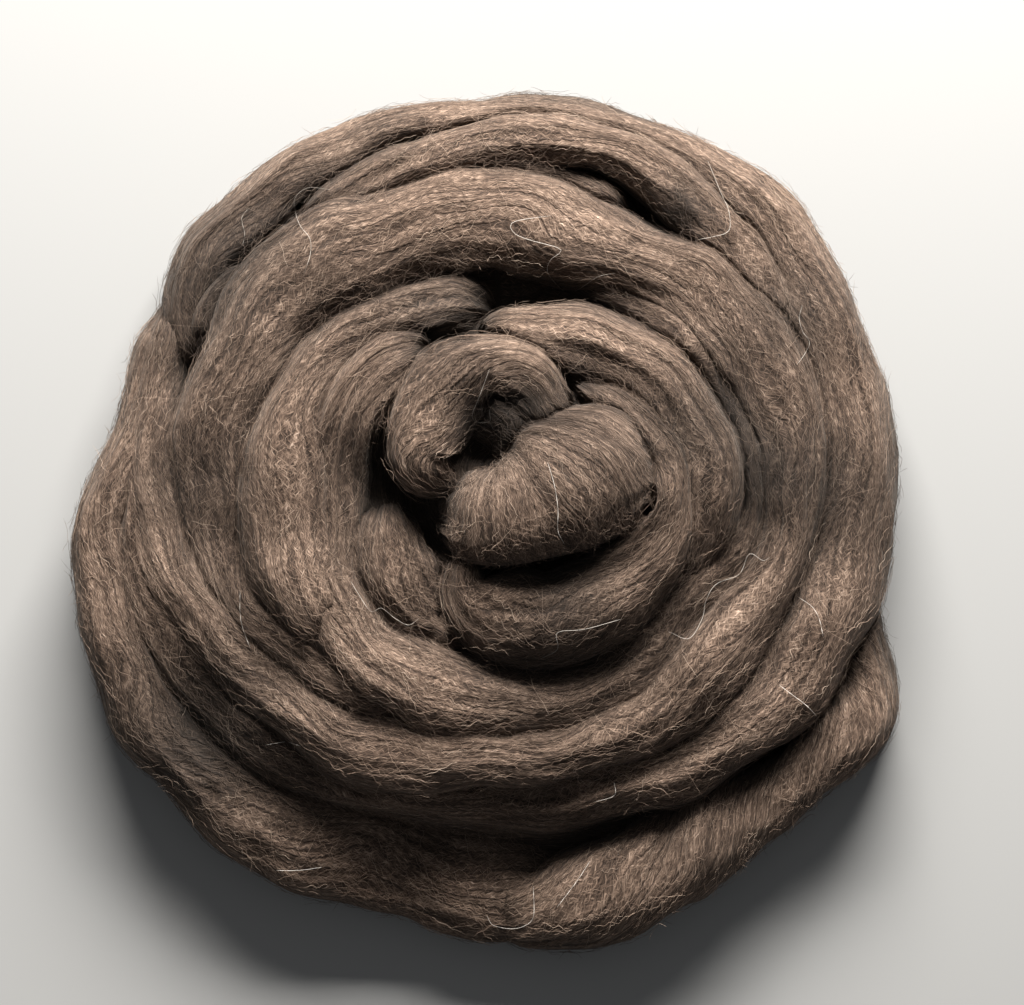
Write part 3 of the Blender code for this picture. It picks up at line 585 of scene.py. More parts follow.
def painted_shade_at(maps, points):
    """Share of painted shade at points in metres: depth under the wide ball over the full depth, so
    that wool in creases and hollows is painted darker where shade falls.

    A bell is added for each row of the table of painted shade and painted light.
    """
    x, y = points[..., 0] / MM, points[..., 1] / MM
    share = (map_at(maps[1], x, y) - points[..., 2] / MM) / SHADE_FULL_DEPTH
    return np.clip(with_bells(np.clip(share, 0.0, 1.0), PAINTED_SHADE_SPOTS, x, y), 0.0, 1.0)


def fan_spread(turn, share):
    """Spread of a fan at a share of the girth: closest at one side, widest from the top on."""
    over = np.clip((share - FAN_START) / FAN_OVER, 0.0, 1.0)
    return turn.fan.closest + (1.0 - turn.fan.closest) * over * (2.0 - over)


def lay_map(turn):
    """Fibre map of a turn in metres: (distance along a fibre, place across the fibres).

    On a turn laid along, the first is the length of the path and the second the share of
    the girth less the drift of the lay. On a fan, the first is the share of the girth, and
    the second is the length from the fan's middle with the spread taken out, so that one
    fibre keeps one value.
    """
    rings = len(turn.marks)
    path = turn.marks[:, None] * MM + np.zeros((1, AROUND + 1))
    share = np.linspace(0.0, 1.0, AROUND + 1)[None, :] + np.zeros((rings, 1))
    offset = MAP_OFFSET * turn.number
    if turn.fan is None:
        place = share * turn.girth - turn.drift[:, None]
        return np.stack([path + offset, place + offset], axis=2)
    middle = turn.fan.centre * turn.length * MM
    place = (path - middle) / fan_spread(turn, share)
    return np.stack([share * turn.girth + offset, place + offset], axis=2)


def ring_quads(rings, around):
    """Four-sided faces between neighbouring rings of a grid, whose points run ring by ring."""
    low = around * np.arange(rings - 1)[:, None]
    here = np.arange(around)[None, :]
    after = (here + 1) % around
    corners = [low + here, low + around + here, low + around + after, low + after]
    return np.stack(corners, axis=2).reshape(-1, 4)


def end_fans(rings, around):
    """Triangles from the first and the last ring to the two points that follow the grid."""
    here = np.arange(around)
    after = (here + 1) % around
    last = (rings - 1) * around
    middle = np.full(around, rings * around)
    return np.vstack([np.stack([here, after, middle], axis=1),
                      np.stack([last + after, last + here, middle + 1], axis=1)])


def store(piece, name, values):
    """Store a number at every point of a piece."""
    layer = piece.data.attributes.new(name, "FLOAT", "POINT")
    layer.data.foreach_set("value", values.astype(np.float32))


def store_map(piece, places):
    """Store the place on the fibre map at every corner of a piece's faces."""
    layer = piece.data.uv_layers.new(name="fibre_map")
    layer.data.foreach_set("uv", places.reshape(-1).astype(np.float32))


def turns_piece(turns):
    """One mesh of all the turns: quads between rings, a fan of triangles on each end."""
    verts, quads, tris, maps_q, maps_t = [], [], [], [], []
    start = 0
    for turn in turns:
        rings = len(turn.marks)
        ends = turn.points[[0, -1]].mean(axis=1)
        verts.append(np.vstack([turn.points.reshape(-1, 3), ends]))
        quad, tri = ring_quads(rings, AROUND), end_fans(rings, AROUND)
        lay = lay_map(turn)
        corner = np.stack([lay[:-1, :-1], lay[1:, :-1], lay[1:, 1:], lay[:-1, 1:]], axis=2)
        corner = corner.reshape(-1, 4, 2)
        cap = np.vstack([np.stack([lay[0, :-1], lay[0, 1:], lay[0, :-1]], axis=1),
                         np.stack([lay[-1, 1:], lay[-1, :-1], lay[-1, :-1]], axis=1)])
        origin = turn.points[0, 0]
        normal = np.cross(turn.points[1, 0] - origin, turn.points[0, 1] - origin)
        if np.dot(normal, origin - ends[0]) < 0.0:
            quad, corner, tri, cap = quad[:, ::-1], corner[:, ::-1], tri[:, ::-1], cap[:, ::-1]
        quads.append(quad + start)
        maps_q.append(corner)
        tris.append(tri + start)
        maps_t.append(cap)
        start += rings * AROUND + len(ends)
    piece = new_mesh("roving_turns", np.vstack(verts), np.vstack(quads), np.vstack(tris))
    store_map(piece, np.concatenate([np.vstack(maps_q).reshape(-1), np.vstack(maps_t).reshape(-1)]))
    return piece


def add_painted_shade(piece, maps):
    """Store the share of painted shade at every point of a piece."""
    points = np.empty(3 * len(piece.data.vertices), dtype=np.float32)
    piece.data.vertices.foreach_get("co", points)
    store(piece, "painted_shade", painted_shade_at(maps, points.reshape(-1, 3)))


def bed_piece(surface):
    """The bed of hidden turns: rings out from the eye, which come up to just under the turns.

    A ring's radius is its share of the rim, and its place on the fibre map is (length of
    the arc at that radius, radius), so that the wool on it runs round the eye.
    """
    rim = np.asarray(BED_RIM, dtype=float)
    clocks = np.linspace(0.0, 360.0, BED_AROUND, endpoint=False)
    edge = np.interp(clocks, rim[:, 0], rim[:, 1])[None, :]
    shares = np.linspace(BED_FIRST, 1.0, BED_RINGS)[:, None]
    angle = np.radians(clocks)[None, :]
    radius = shares * edge
    x = EYE_X + radius * np.sin(angle)
    y = EYE_Y + radius * np.cos(angle)
    height = np.maximum(bed_height(x, y), BED_LEVELS[-1][1])
    under = map_at(lowest_near(surface), x, y) - BED_BELOW
    height = np.where(shares < BED_FULL, np.maximum(height, under), height)
    top = np.stack([x, y, height], axis=2) * MM
    foot = top[-1:].copy()
    foot[:, :, 2] = FOOT_HEIGHT * MM
    points = np.vstack([top, foot])
    rings = len(points)
    middles = np.array([(EYE_X, EYE_Y, height[0].mean()), (EYE_X, EYE_Y, FOOT_HEIGHT)]) * MM
    # Each face starts at another corner than on the turns, which turns the quads' diagonals.
    quads = ring_quads(rings, BED_AROUND)[:, [1, 2, 3, 0]]
    tris = end_fans(rings, BED_AROUND)[:, [2, 0, 1]]
    piece = new_mesh("hidden_turns", np.vstack([points.reshape(-1, 3), middles]), quads, tris)
    rim_radius = radius[-1:]
    arc = [(radius * angle).reshape(-1), (rim_radius * angle).reshape(-1), [0.0, 0.0]]
    out = [radius.reshape(-1), rim_radius.reshape(-1) + FOOT_MAP, [0.0, 0.0]]
    places = np.stack([np.concatenate(arc) * MM, np.concatenate(out) * MM], axis=1)
    corners = np.concatenate([quads.reshape(-1), tris.reshape(-1)])
    store_map(piece, places[corners])
    return piece


def new_mesh(name, verts, quads, tris):
    """Mesh object from arrays of points, four-sided and three-sided faces."""
    mesh = bpy.data.meshes.new(name)
    loops = np.concatenate([quads.reshape(-1), tris.reshape(-1)]).astype(np.int32)
    sizes = np.concatenate([np.full(len(quads), 4), np.full(len(tris), 3)]).astype(np.int32)
    starts = np.concatenate([[0], np.cumsum(sizes)[:-1]]).astype(np.int32)
    mesh.vertices.add(len(verts))
    mesh.vertices.foreach_set("co", np.asarray(verts, dtype=np.float32).reshape(-1))
    mesh.loops.add(len(loops))
    mesh.loops.foreach_set("vertex_index", loops)
    mesh.polygons.add(len(sizes))
    mesh.polygons.foreach_set("loop_start", starts)
    mesh.polygons.foreach_set("use_smooth", np.ones(len(sizes), dtype=bool))
    mesh.update(calc_edges=True)
    mesh.validate()
    piece = bpy.data.objects.new(name, mesh)
    bpy.context.collection.objects.link(piece)
    return piece


# ---- fibres --------------------------------------------------------------------------
# Lay: how a kind of fibre lies. count is how many show, length is in millimetres, slant
# is the usual largest angle off the lay in degrees, lift is the least and most height over
# the surface, rise is how far the ends stand off, crimp is the wave's height, wave is its
# length, points is how many points a fibre has, radius is its half thickness and tone is
# its least and most tone.
Lay = namedtuple("Lay", "count length slant lift rise crimp wave points radius tone")
LAID = Lay(8400, (5.0, 12.0), 60.0, (0.0, 1.0), 0.5, 0.42, 3.4, 11, 0.05, (0.05, 1.0))
CROSSING = Lay(2450, (6.0, 14.0), 100.0, (0.0, 0.7), 0.5, 0.42, 3.4, 14, 0.042, (0.05, 0.85))
FUZZ = Lay(1200, (6.0, 14.0), 90.0, (0.3, 1.6), 2.6, 0.5, 3.8, 14, 0.045, (0.2, 1.0))
LAID_PIECES = 3
LAID_SEED, CROSSING_SEED, FUZZ_SEED = 101, 202, 303
SLANT_SPREAD = 0.45  # standard deviation of the slant, as a share of the largest
WAVE_RANGE = (0.75, 1.35)  # least and most of a crimp's length and of its height,
CRIMP_RANGE = (0.4, 1.3)  # and of the thickness, as shares of the usual one
RADIUS_RANGE = (0.7, 1.3)
SECOND_CRIMP = 0.6  # height of the slower crimp, as a share of the first
SECOND_WAVE = 2.7  # its length, in lengths of the first
HIGH_CRIMP = 0.25  # height of the crimp up and down
HIGH_WAVE = 1.3
HIGH_PHASE = 1.7
END_POWER = 2.5  # the ends rise with this power of the distance from the middle
UPPER_GIRTH = (0.2, 0.8)  # shares of the girth on which fibres start
FAN_GIRTH = (0.22, 0.78)
PATH_MARGIN = 0.0005  # least distance of a fibre's points from a turn's ends, metres
INSIDE_SHARE = 0.75  # share of a fibre's points that keep it
TRIES = 2.6  # fibres drawn for each that is wanted, because some are hidden
SPARE_TRIES = 12
LOWEST = 0.0004  # least height of a fibre, metres
TONE_SPREAD = (1.6, 1.8)  # the two powers of the beta curve that the tones follow
SHOW_LIFT = 0.0009  # height over the surface from which wool above is looked for, metres
SHOW_UP = 0.2  # how far it is looked for upwards and outwards, metres
SHOW_OUT = 0.12
STEEP = 0.6  # a normal with less rise than this is a side's, which may show outwards
OVERHANG = -0.35  # normals lower than this face down

TAPER_START = 1.15  # a fibre's thickness is this less a power of the distance from
TAPER_POWER = 6  # its middle, between its end's share and one
TAPER_END = 0.25

CROSSING_RADIUS = 5.0  # ball on whose path the crossing fibres lie
CROSSING_REACH = 8  # cells round a place that the ball is tried on
CROSSING_GAP = 4.5  # deepest crease that they still cross
CROSSING_CHANCE = 0.2  # share of them that is kept on a smooth stretch
CROSSING_MORE = 0.5  # how much more is kept for each millimetre of a crease's depth
CROSSING_TRIES = 12  # fibres drawn for each that is wanted
CROSSING_BOW = 0.02  # how much they bow to the side, per millimetre squared
CROSSING_LOWEST = 9.0  # least height of the wool that they cross
CROSSING_STEP = 1.2  # largest step in height from point to point
# Places where more of them lie tangled, by x and y from the eye, reach and share.
CROWDED = ((22.9, 13.2, 9, 0.4), (84, 46, 15, 0.8), (96, 30, 14, 0.4))


def grid_sample(grid, along, around):
    """Blend a grid of vectors at fractional places: linear along, linear and cyclic round."""
    along = np.clip(along, 0.0, grid.shape[0] - JUST_INSIDE)
    low = np.floor(along).astype(int)
    part = (along - low)[..., None]
    left = np.floor(around).astype(int)
    turn = (around - left)[..., None]
    right = (left + 1) % AROUND
    left = left % AROUND
    below = grid[low, left] * (1.0 - turn) + grid[low, right] * turn
    above = grid[low + 1, left] * (1.0 - turn) + grid[low + 1, right] * turn
    return below * (1.0 - part) + above * part


def draw_crimp(rng, lay, count):
    """Length, phase and height of each fibre's crimp."""
    wave = lay.wave * rng.uniform(*WAVE_RANGE, (count, 1))
    phase = rng.uniform(0.0, 2.0 * math.pi, (count, 1))
    return wave, phase, lay.crimp * rng.uniform(*CRIMP_RANGE, (count, 1))


def draw_looks(rng, lay, count):
    """Half thickness of each fibre in metres, and its tone from a beta curve."""
    tone = rng.beta(*TONE_SPREAD, count) * (lay.tone[1] - lay.tone[0]) + lay.tone[0]
    return lay.radius * rng.uniform(*RADIUS_RANGE, count) * MM, tone


def ripple(run, wave, phase):
    """Sine of a length along a fibre."""
    return np.sin(2.0 * math.pi * run / wave + phase)


def fibre_paths(turn, lay, count, rng):
    """Paths of count fibres on one turn: points and the surface's normals at them.

    A fibre runs from minus to plus half its length along the lay. Its place across is a
    straight slant plus two sines of the crimp's wave. Its height over the surface is a
    steady lift plus a small sine and a power of the distance from its middle.
    """
    step = np.linspace(-0.5, 0.5, lay.points)[None, :]
    length = rng.uniform(lay.length[0], lay.length[1], (count, 1)) * MM
    slant = np.radians(rng.normal(0.0, SLANT_SPREAD * lay.slant, (count, 1)))
    wave, phase, swing = draw_crimp(rng, lay, count)
    wave, swing = wave * MM, swing * MM
    run = length * step
    side = np.sin(slant) * run + swing * ripple(run, wave, phase)
    side += SECOND_CRIMP * swing * ripple(run, SECOND_WAVE * wave, 2.0 * phase)
    along = np.cos(slant) * run
    pace = turn.length * MM
    girth = turn.girth
    if turn.fan is None:
        middle = rng.uniform(0.0, pace, (count, 1))
        place = rng.uniform(*UPPER_GIRTH, (count, 1))
        lean = np.interp(middle, turn.marks * MM, np.gradient(turn.drift, turn.marks * MM))
        path = middle + along / np.sqrt(1.0 + lean ** 2)
        drift = np.interp(path, turn.marks * MM, turn.drift)
        start = np.interp(middle, turn.marks * MM, turn.drift)
        share = place + (side + drift - start) / girth
    else:
        middle = turn.fan.centre * pace
        spread_place = rng.uniform(0.0, pace, (count, 1)) - middle
        place = rng.uniform(*FAN_GIRTH, (count, 1))
        share = place + along / girth
        path = middle + spread_place * fan_spread(turn, share) + side
    steps = path / pace * (len(turn.marks) - 1)
    points = grid_sample(turn.points, steps, share * AROUND)
    normals = unit(grid_sample(turn.normals, steps, share * AROUND))
    lift = rng.uniform(lay.lift[0], lay.lift[1], (count, 1))
    ends = lay.rise * rng.uniform(0.0, 1.0, (count, 1)) * (2.0 * np.abs(step)) ** END_POWER
    high = HIGH_CRIMP * lay.crimp * ripple(run, HIGH_WAVE * wave, HIGH_PHASE * phase)
    height = (lift + ends + high) * MM
    points = points + normals * height[:, :, None]
    inside = (path > PATH_MARGIN) & (path < pace - PATH_MARGIN)
    return points, normals, inside.mean(axis=1) > INSIDE_SHARE


def shows(tree, points, normals):
    """True where nothing of the nest is over a point, or out from it on a steep side."""
    keep = np.zeros(len(points), dtype=bool)
    up = Vector((0.0, 0.0, 1.0))
    for index, (point, normal) in enumerate(zip(points, normals)):
        start = Vector(point) + Vector(normal) * SHOW_LIFT
        if tree.ray_cast(start, up, SHOW_UP)[0] is None:
            keep[index] = normal[2] > OVERHANG
        elif abs(normal[2]) < STEEP:
            out = Vector((normal[0], normal[1], 0.0))
            keep[index] = tree.ray_cast(start, out, SHOW_OUT)[0] is None
    return keep


def gather_fibres(turns, tree, lay, seed):
    """Draw fibres over all the turns in proportion to their area, and keep what shows."""
    rng = np.random.default_rng(seed)
    areas = np.array([turn.length * turn.girth for turn in turns])
    kept_points, kept_normals = [], []
    for turn, share in zip(turns, areas / areas.sum()):
        count = int(lay.count * TRIES * share) + SPARE_TRIES
        points, normals, inside = fibre_paths(turn, lay, count, rng)
        points, normals = points[inside], normals[inside]
        middle = lay.points // 2
        seen = shows(tree, points[:, middle], normals[:, middle])
        kept_points.append(points[seen])
        kept_normals.append(normals[seen])
    points = np.vstack(kept_points)
    normals = np.vstack(kept_normals)
    order = rng.permutation(len(points))[:lay.count]
    points, normals = points[order], normals[order]
    points[:, :, 2] = np.maximum(points[:, :, 2], LOWEST)
    return points, normals, *draw_looks(rng, lay, len(points))


def crossing_fibres(maps, lay, seed):
    """Fibres that lie over the creases from turn to turn, most of them where it is deep.

    A fibre runs at an angle off the way round the eye, drawn from a bell curve, with a bow
    and a sine crimp to the side. Its height is that of a small ball rolled over the nest.
    """
    rng = np.random.default_rng(seed)
    over = ball_surface(maps[0], CROSSING_RADIUS, CROSSING_REACH)
    tries = CROSSING_TRIES * lay.count
    clock = rng.uniform(0.0, 2.0 * math.pi, (tries, 1))
    radius = MAP_REACH * np.sqrt(rng.uniform(0.0, 1.0, (tries, 1)))
    x = EYE_X + radius * np.sin(clock)
    y = EYE_Y + radius * np.cos(clock)
    depth = map_at(over, x, y) - map_at(maps[0], x, y)
    chance = with_bells(CROSSING_CHANCE + CROSSING_MORE * depth, CROWDED, x, y)
    kept = rng.uniform(0.0, 1.0, (tries, 1)) < chance
    way = clock + np.radians(rng.normal(0.0, SLANT_SPREAD * lay.slant, (tries, 1)))
    step = np.linspace(-0.5, 0.5, lay.points)[None, :]
    run = rng.uniform(lay.length[0], lay.length[1], (tries, 1)) * step
    wave, phase, swing = draw_crimp(rng, lay, tries)
    side = swing * ripple(run, wave, phase)
    side += CROSSING_BOW * rng.normal(0.0, 1.0, (tries, 1)) * run ** 2
    x = x + np.cos(way) * run + np.sin(way) * side
    y = y - np.sin(way) * run + np.cos(way) * side
    z = map_at(over, x, y)
    gap = (z - map_at(maps[0], x, y)).max(axis=1)
    kept = kept[:, 0] & (z.min(axis=1) > CROSSING_LOWEST) & (gap < CROSSING_GAP)
    kept &= np.abs(np.diff(z, axis=1)).max(axis=1) < CROSSING_STEP
    z = z + rng.uniform(lay.lift[0], lay.lift[1], (tries, 1))
    z += lay.rise * (2.0 * np.abs(step)) ** END_POWER
    points = np.stack([x, y, z], axis=2)[kept][:lay.count] * MM
    normals = np.zeros_like(points)
    normals[:, :, 2] = 1.0
    return points, normals, *draw_looks(rng, lay, len(points))


def fibre_piece(name, points, normals, radius, tone, sides=3):
    """Closed thin tubes: rings of a few points round each path, thinner at both ends."""
    count, steps = points.shape[:2]
    along = unit(np.gradient(points, axis=1))
    side = unit(np.cross(along, normals))
    up = np.cross(side, along)
    share = np.linspace(-1.0, 1.0, steps)
    taper = np.clip(TAPER_START - share ** TAPER_POWER, TAPER_END, 1.0)[None, :] * radius[:, None]
    rings = []
    for index in range(sides):
        angle = 2.0 * math.pi * index / sides + 0.5 * math.pi
        rings.append(points + taper[:, :, None] * (math.cos(angle) * side + math.sin(angle) * up))
    verts = np.stack(rings, axis=2).reshape(-1, 3)
    foot = (np.arange(count) * steps * sides)[:, None]
    quads = (foot[:, :, None] + ring_quads(steps, sides)).reshape(-1, 4)
    head = foot + (steps - 1) * sides
    tris = [foot + np.array([[0, spot, spot + 1]]) for spot in range(1, sides - 1)]
    tris += [head + np.array([[0, spot + 1, spot]]) for spot in range(1, sides - 1)]
    piece = new_mesh(name, verts, quads, np.vstack(tris))
    store(piece, "tone", np.repeat(tone, steps * sides))
    return piece


# ---- guard hairs ---------------------------------------------------------------------
# Pale stiff hairs that lie loose on the nest, each by a few places in millimetres from
# the eye; they arch a little over the wool from place to place.
GUARD_HAIRS = (
    ((-50, 83), (-57, 84), (-61, 81), (-61, 77), (-59, 72), (-56, 68), (-56, 63), (-58, 57)),
    ((-75, 78), (-77, 75), (-76, 70), (-77, 66)),
    ((62, 92), (64, 87), (66, 82), (68, 77), (68, 71), (63, 69), (57, 68)),
    ((15, 75), (4, 73), (4, 70), (8, 68), (18, 65), (15, 62), (14, 59), (16, 56), (20, 53),
     (24, 54), (29, 57), (34, 58)),
    ((-3, 29), (-6, 21), (-8, 16), (-7, 14), (-3, 14), (-3, 17), (-2, 19)),
    ((90, 49), (89, 45), (90, 41), (92, 38), (91, 35), (88, 31)),
    ((-77, -36), (-77, -43), (-76, -48), (-74, -53)),
    ((-44, -33), (-41, -38), (-38, -42), (-35, -41), (-31, -44), (-27, -46), (-24, -44)),
    ((36, -44), (25, -47), (17, -48), (17, -53), (12, -56)),
    ((80, -26), (78, -27), (74, -25), (71, -31), (64, -34), (61, -39), (60, -44), (56, -50),
     (50, -48)),
    ((89, -38), (93, -41), (95, -45), (96, -50)),
    ((83, -64), (87, -67), (91, -70), (95, -74)),
    ((34, -93), (34, -97), (28, -99)),
    ((-4, -134), (-2, -137), (3, -138), (7, -137), (10, -134), (10, -125)),
    ((27, -117), (23, -123), (17, -131)),
    ((-70, -82), (-64, -81), (-59, -82)),
    ((14, 2), (16, -5), (17, -12), (17, -18), (19, -22)),
    ((-67, -120), (-60, -120), (-53, -119)),
)
HAIR_RADIUS = 0.08
HAIR_TONES = (0.2, 1.0)
HAIR_POINTS = 48
HAIR_STEP = 0.5
HAIR_EVENINGS = 6  # how often a hair is drawn tight over the dips below it
HAIR_LIFT = 0.0006  # least height over the wool and height of its arches, in metres
HAIR_ARCHES = 5
DROP_HEIGHT = 0.2  # height from which a hair is let down, in metres
BARE_HEIGHT = 0.001  # its height where there is no wool, in metres


def wool_height(tree, x, y):
    """Height of the wool at a place in metres."""
    hit = tree.ray_cast(Vector((x, y, DROP_HEIGHT)), Vector((0.0, 0.0, -1.0)))[0]
    return BARE_HEIGHT if hit is None else hit.z


def hair_paths(tree):
    """Drop each hair's smooth plan curve on the nest, with a low arch between places."""
    inner = np.arange(HAIR_POINTS) % (HAIR_POINTS - 1) > 0
    arches = np.sin(np.linspace(0.0, HAIR_ARCHES * math.pi, HAIR_POINTS)) ** 2
    paths = []
    for places in GUARD_HAIRS:
        plan = smooth_rows([place + (0.0, 0.0) for place in places], PER_SPAN)
        even, _ = even_rows(plan, HAIR_STEP)
        pick = np.linspace(0, len(even) - 1, HAIR_POINTS)
        x, y = [(eye + np.interp(pick, np.arange(len(even)), even[:, axis])) * MM
                for axis, eye in enumerate((EYE_X, EYE_Y))]
        z = np.array([wool_height(tree, a, b) for a, b in zip(x, y)])
        for _ in range(HAIR_EVENINGS):
            z = np.maximum(z, 0.5 * (np.roll(z, 1) + np.roll(z, -1)) * inner)
        paths.append(np.stack([x, y, z + HAIR_LIFT + HAIR_LIFT * arches], axis=1))
    return np.array(paths)


# ---- materials -----------------------------------------------------------------------
def new_group(name, sockets):
    """A node group with named sockets, and the sockets on its two end nodes."""
    group = bpy.data.node_groups.new(name, "ShaderNodeTree")
    for title, way, kind, *plain in sockets:
        socket = group.interface.new_socket(name=title, in_out=way, socket_type=f"NodeSocket{kind}")
        if plain:
            socket.default_value = plain[0]
    source = group.nodes.new("NodeGroupInput")
    sink = group.nodes.new("NodeGroupOutput")
    return group, source.outputs, sink.inputs


def math_node(tree, operation, first, second=None):
    """A Math node; each input is a number or another node's output."""
    node = tree.nodes.new("ShaderNodeMath")
    node.operation = operation
    for socket, value in zip(node.inputs, (first, second)):
        if value is None:
            continue
        if isinstance(value, (int, float)):
            socket.default_value = value
        else:
            tree.links.new(value, socket)
    return node.outputs[0]


# Streak: a noise drawn out along the fibres, by its places per metre along and across and
# by its detail.
Streak = namedtuple("Streak", "along across detail")
STREAKS = {
    "flow": Streak(20.0, 34.0, 1.0),
    "frizz": Streak(420.0, 420.0, 2.0),
    "hair": Streak(330.0, 3300.0, 1.0),
    "strand": Streak(45.0, 560.0, 2.0),
    "band": Streak(16.0, 200.0, 2.0),
    "lock": Streak(26.0, 300.0, 1.0),
}
STREAK_ROUGHNESS = 0.6
FLOW_SIDE = 0.022  # how far the flow moves the fibres to the side, metres
CRIMP_HEIGHT = 0.0016  # how far the frizz moves them, metres
HAIR_SLOPES = (0.12, 0.5, -0.38)  # slopes of the three sets of hair-fine fibres
SLOPE_SHIFT = 0.013  # shift of each set to the side, metres for a slope of one
CLEFT_SHARPNESS = 16.0
# How much hairs, strands, bands and clefts add to the tone and to the height; the clefts' share of
# the tone is painted shade in them.
TONE_SHARES = (0.85, 0.2, 0.1, -0.09)
HEIGHT_SHARES = (0.7, 0.8, 1.6, -0.5)


def streak_noise(tree, along, across, streak):
    """Noise drawn out along the fibres."""
    place = tree.nodes.new("ShaderNodeCombineXYZ")
    tree.links.new(math_node(tree, "MULTIPLY", along, streak.along), place.inputs["X"])
    tree.links.new(math_node(tree, "MULTIPLY", across, streak.across), place.inputs["Y"])
    noise = tree.nodes.new("ShaderNodeTexNoise")
    noise.inputs["Scale"].default_value = 1.0
    noise.inputs["Detail"].default_value = streak.detail
    noise.inputs["Roughness"].default_value = STREAK_ROUGHNESS
    tree.links.new(place.outputs[0], noise.inputs["Vector"])
    return noise.outputs["Fac"]


def combed_wool_group():
    """Streaks of combed wool from the fibre map: a tone from 0 to 1 and a height.

    Drawn-out noises, hair-fine, strand-wide and band-wide, are summed. The hair-fine one
    is the highest of three that lie straight and to either side, so that fibres cross.
    The place across is first swayed by a noise with the crimp's length, so that they frizz.
    Where a long drawn-out noise crosses its middle value there is a narrow cleft between two locks,
    sunk in height and painted darker as shade in it.
    """
    group, source, sink = new_group("combed wool", (
        ("Fibre Map", "INPUT", "Vector"), ("Crimp Height", "INPUT", "Float", CRIMP_HEIGHT),
        ("Tone", "OUTPUT", "Float"), ("Height", "OUTPUT", "Float")))

    def sums(operation, first, second=None):
        """A Math node in this group."""
        return math_node(group, operation, first, second)

    def streaks(place, kind):
        """One of the drawn-out noises, at a place across the fibres."""
        return streak_noise(group, along, place, STREAKS[kind])

    split = group.nodes.new("ShaderNodeSeparateXYZ")
    group.links.new(source["Fibre Map"], split.inputs[0])
    along, across = split.outputs["X"], split.outputs["Y"]
    drift = sums("MULTIPLY", sums("SUBTRACT", streaks(across, "flow"), 0.5), FLOW_SIDE)
    across = sums("ADD", across, drift)
    frizz = sums("SUBTRACT", streaks(across, "frizz"), 0.5)
    waved = sums("ADD", across, sums("MULTIPLY", frizz, source["Crimp Height"]))
    hairs = []
    for slope in HAIR_SLOPES:
        crossed = sums("ADD", waved, sums("MULTIPLY", along, slope))
        hairs.append(streaks(sums("ADD", crossed, SLOPE_SHIFT * slope), "hair"))
    top = sums("MAXIMUM", sums("MAXIMUM", hairs[0], hairs[1]), hairs[2])
    strand, band, lock = [streaks(waved, kind) for kind in ("strand", "band", "lock")]
    swing = sums("MULTIPLY", sums("ABSOLUTE", sums("SUBTRACT", lock, 0.5)), CLEFT_SHARPNESS)
    cleft = sums("MAXIMUM", sums("SUBTRACT", 1.0, swing), 0.0)
    for name, shares in (("Tone", TONE_SHARES), ("Height", HEIGHT_SHARES)):
        total = sums("MULTIPLY", top, shares[0])
        for streak, share in zip((strand, band, cleft), shares[1:]):
            total = sums("ADD", total, sums("MULTIPLY", streak, share))
        group.links.new(total, sink[name])
    return group


def colour_ramp(tree, factor, stops):
    """A Color Ramp through (place, colour) stops."""
    ramp = tree.nodes.new("ShaderNodeValToRGB")
    elements = ramp.color_ramp.elements
    while len(elements) < len(stops):
        elements.new(0.5)
    for element, (place, colour) in zip(elements, stops):
        element.position = place
        element.color = colour + (1.0,)
    tree.links.new(factor, ramp.inputs["Fac"])
    return ramp.outputs["Color"]


# Painted shade: a near-black colour mixed into the wool's colour in creases, hollows and the listed
# spots, standing for shade.
PAINTED_SHADE_POWER = 0.8
PAINTED_SHADE_COLOUR = (0.004, 0.003, 0.002, 1.0)
TURNS_SHADE_MOST = 0.86  # how much of the painted shade colour the deepest wool in a crease gets
FIBRES_SHADE_MOST = 0.82


def painted_shade_group():
    """Painted shade: the near-black shade colour mixed into the wool's colour by Most times a power
    of the painted shade share.
    """
    group, source, sink = new_group("painted crease shade", (
        ("Colour", "INPUT", "Color"), ("Hollow", "INPUT", "Float"), ("Most", "INPUT", "Float"),
        ("Colour", "OUTPUT", "Color")))
    depth = math_node(group, "POWER", source["Hollow"], PAINTED_SHADE_POWER)
    mix = group.nodes.new("ShaderNodeMix")
    mix.data_type = "RGBA"
    group.links.new(math_node(group, "MULTIPLY", depth, source["Most"]), mix.inputs[0])
    group.links.new(source["Colour"], mix.inputs[6])
    mix.inputs[7].default_value = PAINTED_SHADE_COLOUR
    group.links.new(mix.outputs[2], sink["Colour"])
    return group


def paint_shade_into(tree, shade_group, colour, most):
    """Paint shade into a colour by the share of painted shade that the piece carries."""
    painted_shade = tree.nodes.new("ShaderNodeAttribute")
    painted_shade.attribute_name = "painted_shade"
    wool = tree.nodes.new("ShaderNodeGroup")
    wool.node_tree = shade_group
    wool.inputs["Most"].default_value = most
    tree.links.new(colour, wool.inputs["Colour"])
    tree.links.new(painted_shade.outputs["Fac"], wool.inputs["Hollow"])
    return wool.outputs["Colour"]


# Roughness, sheen and the sheen's roughness.
TURNS_FINISH = (0.85, 0.08, 0.45)
FIBRE_FINISH = (0.65, 0.05, 0.4)
FLOOR_FINISH = (0.8, 0.0, 0.5)
SPECULAR = 0.25
SHEEN_TINT = (1.0, 0.86, 0.74, 1.0)
BUMP_STRENGTH = 0.8
BUMP_DISTANCE = 0.0006  # metres
FLOOR_COLOUR = (0.31, 0.307, 0.30, 1.0)


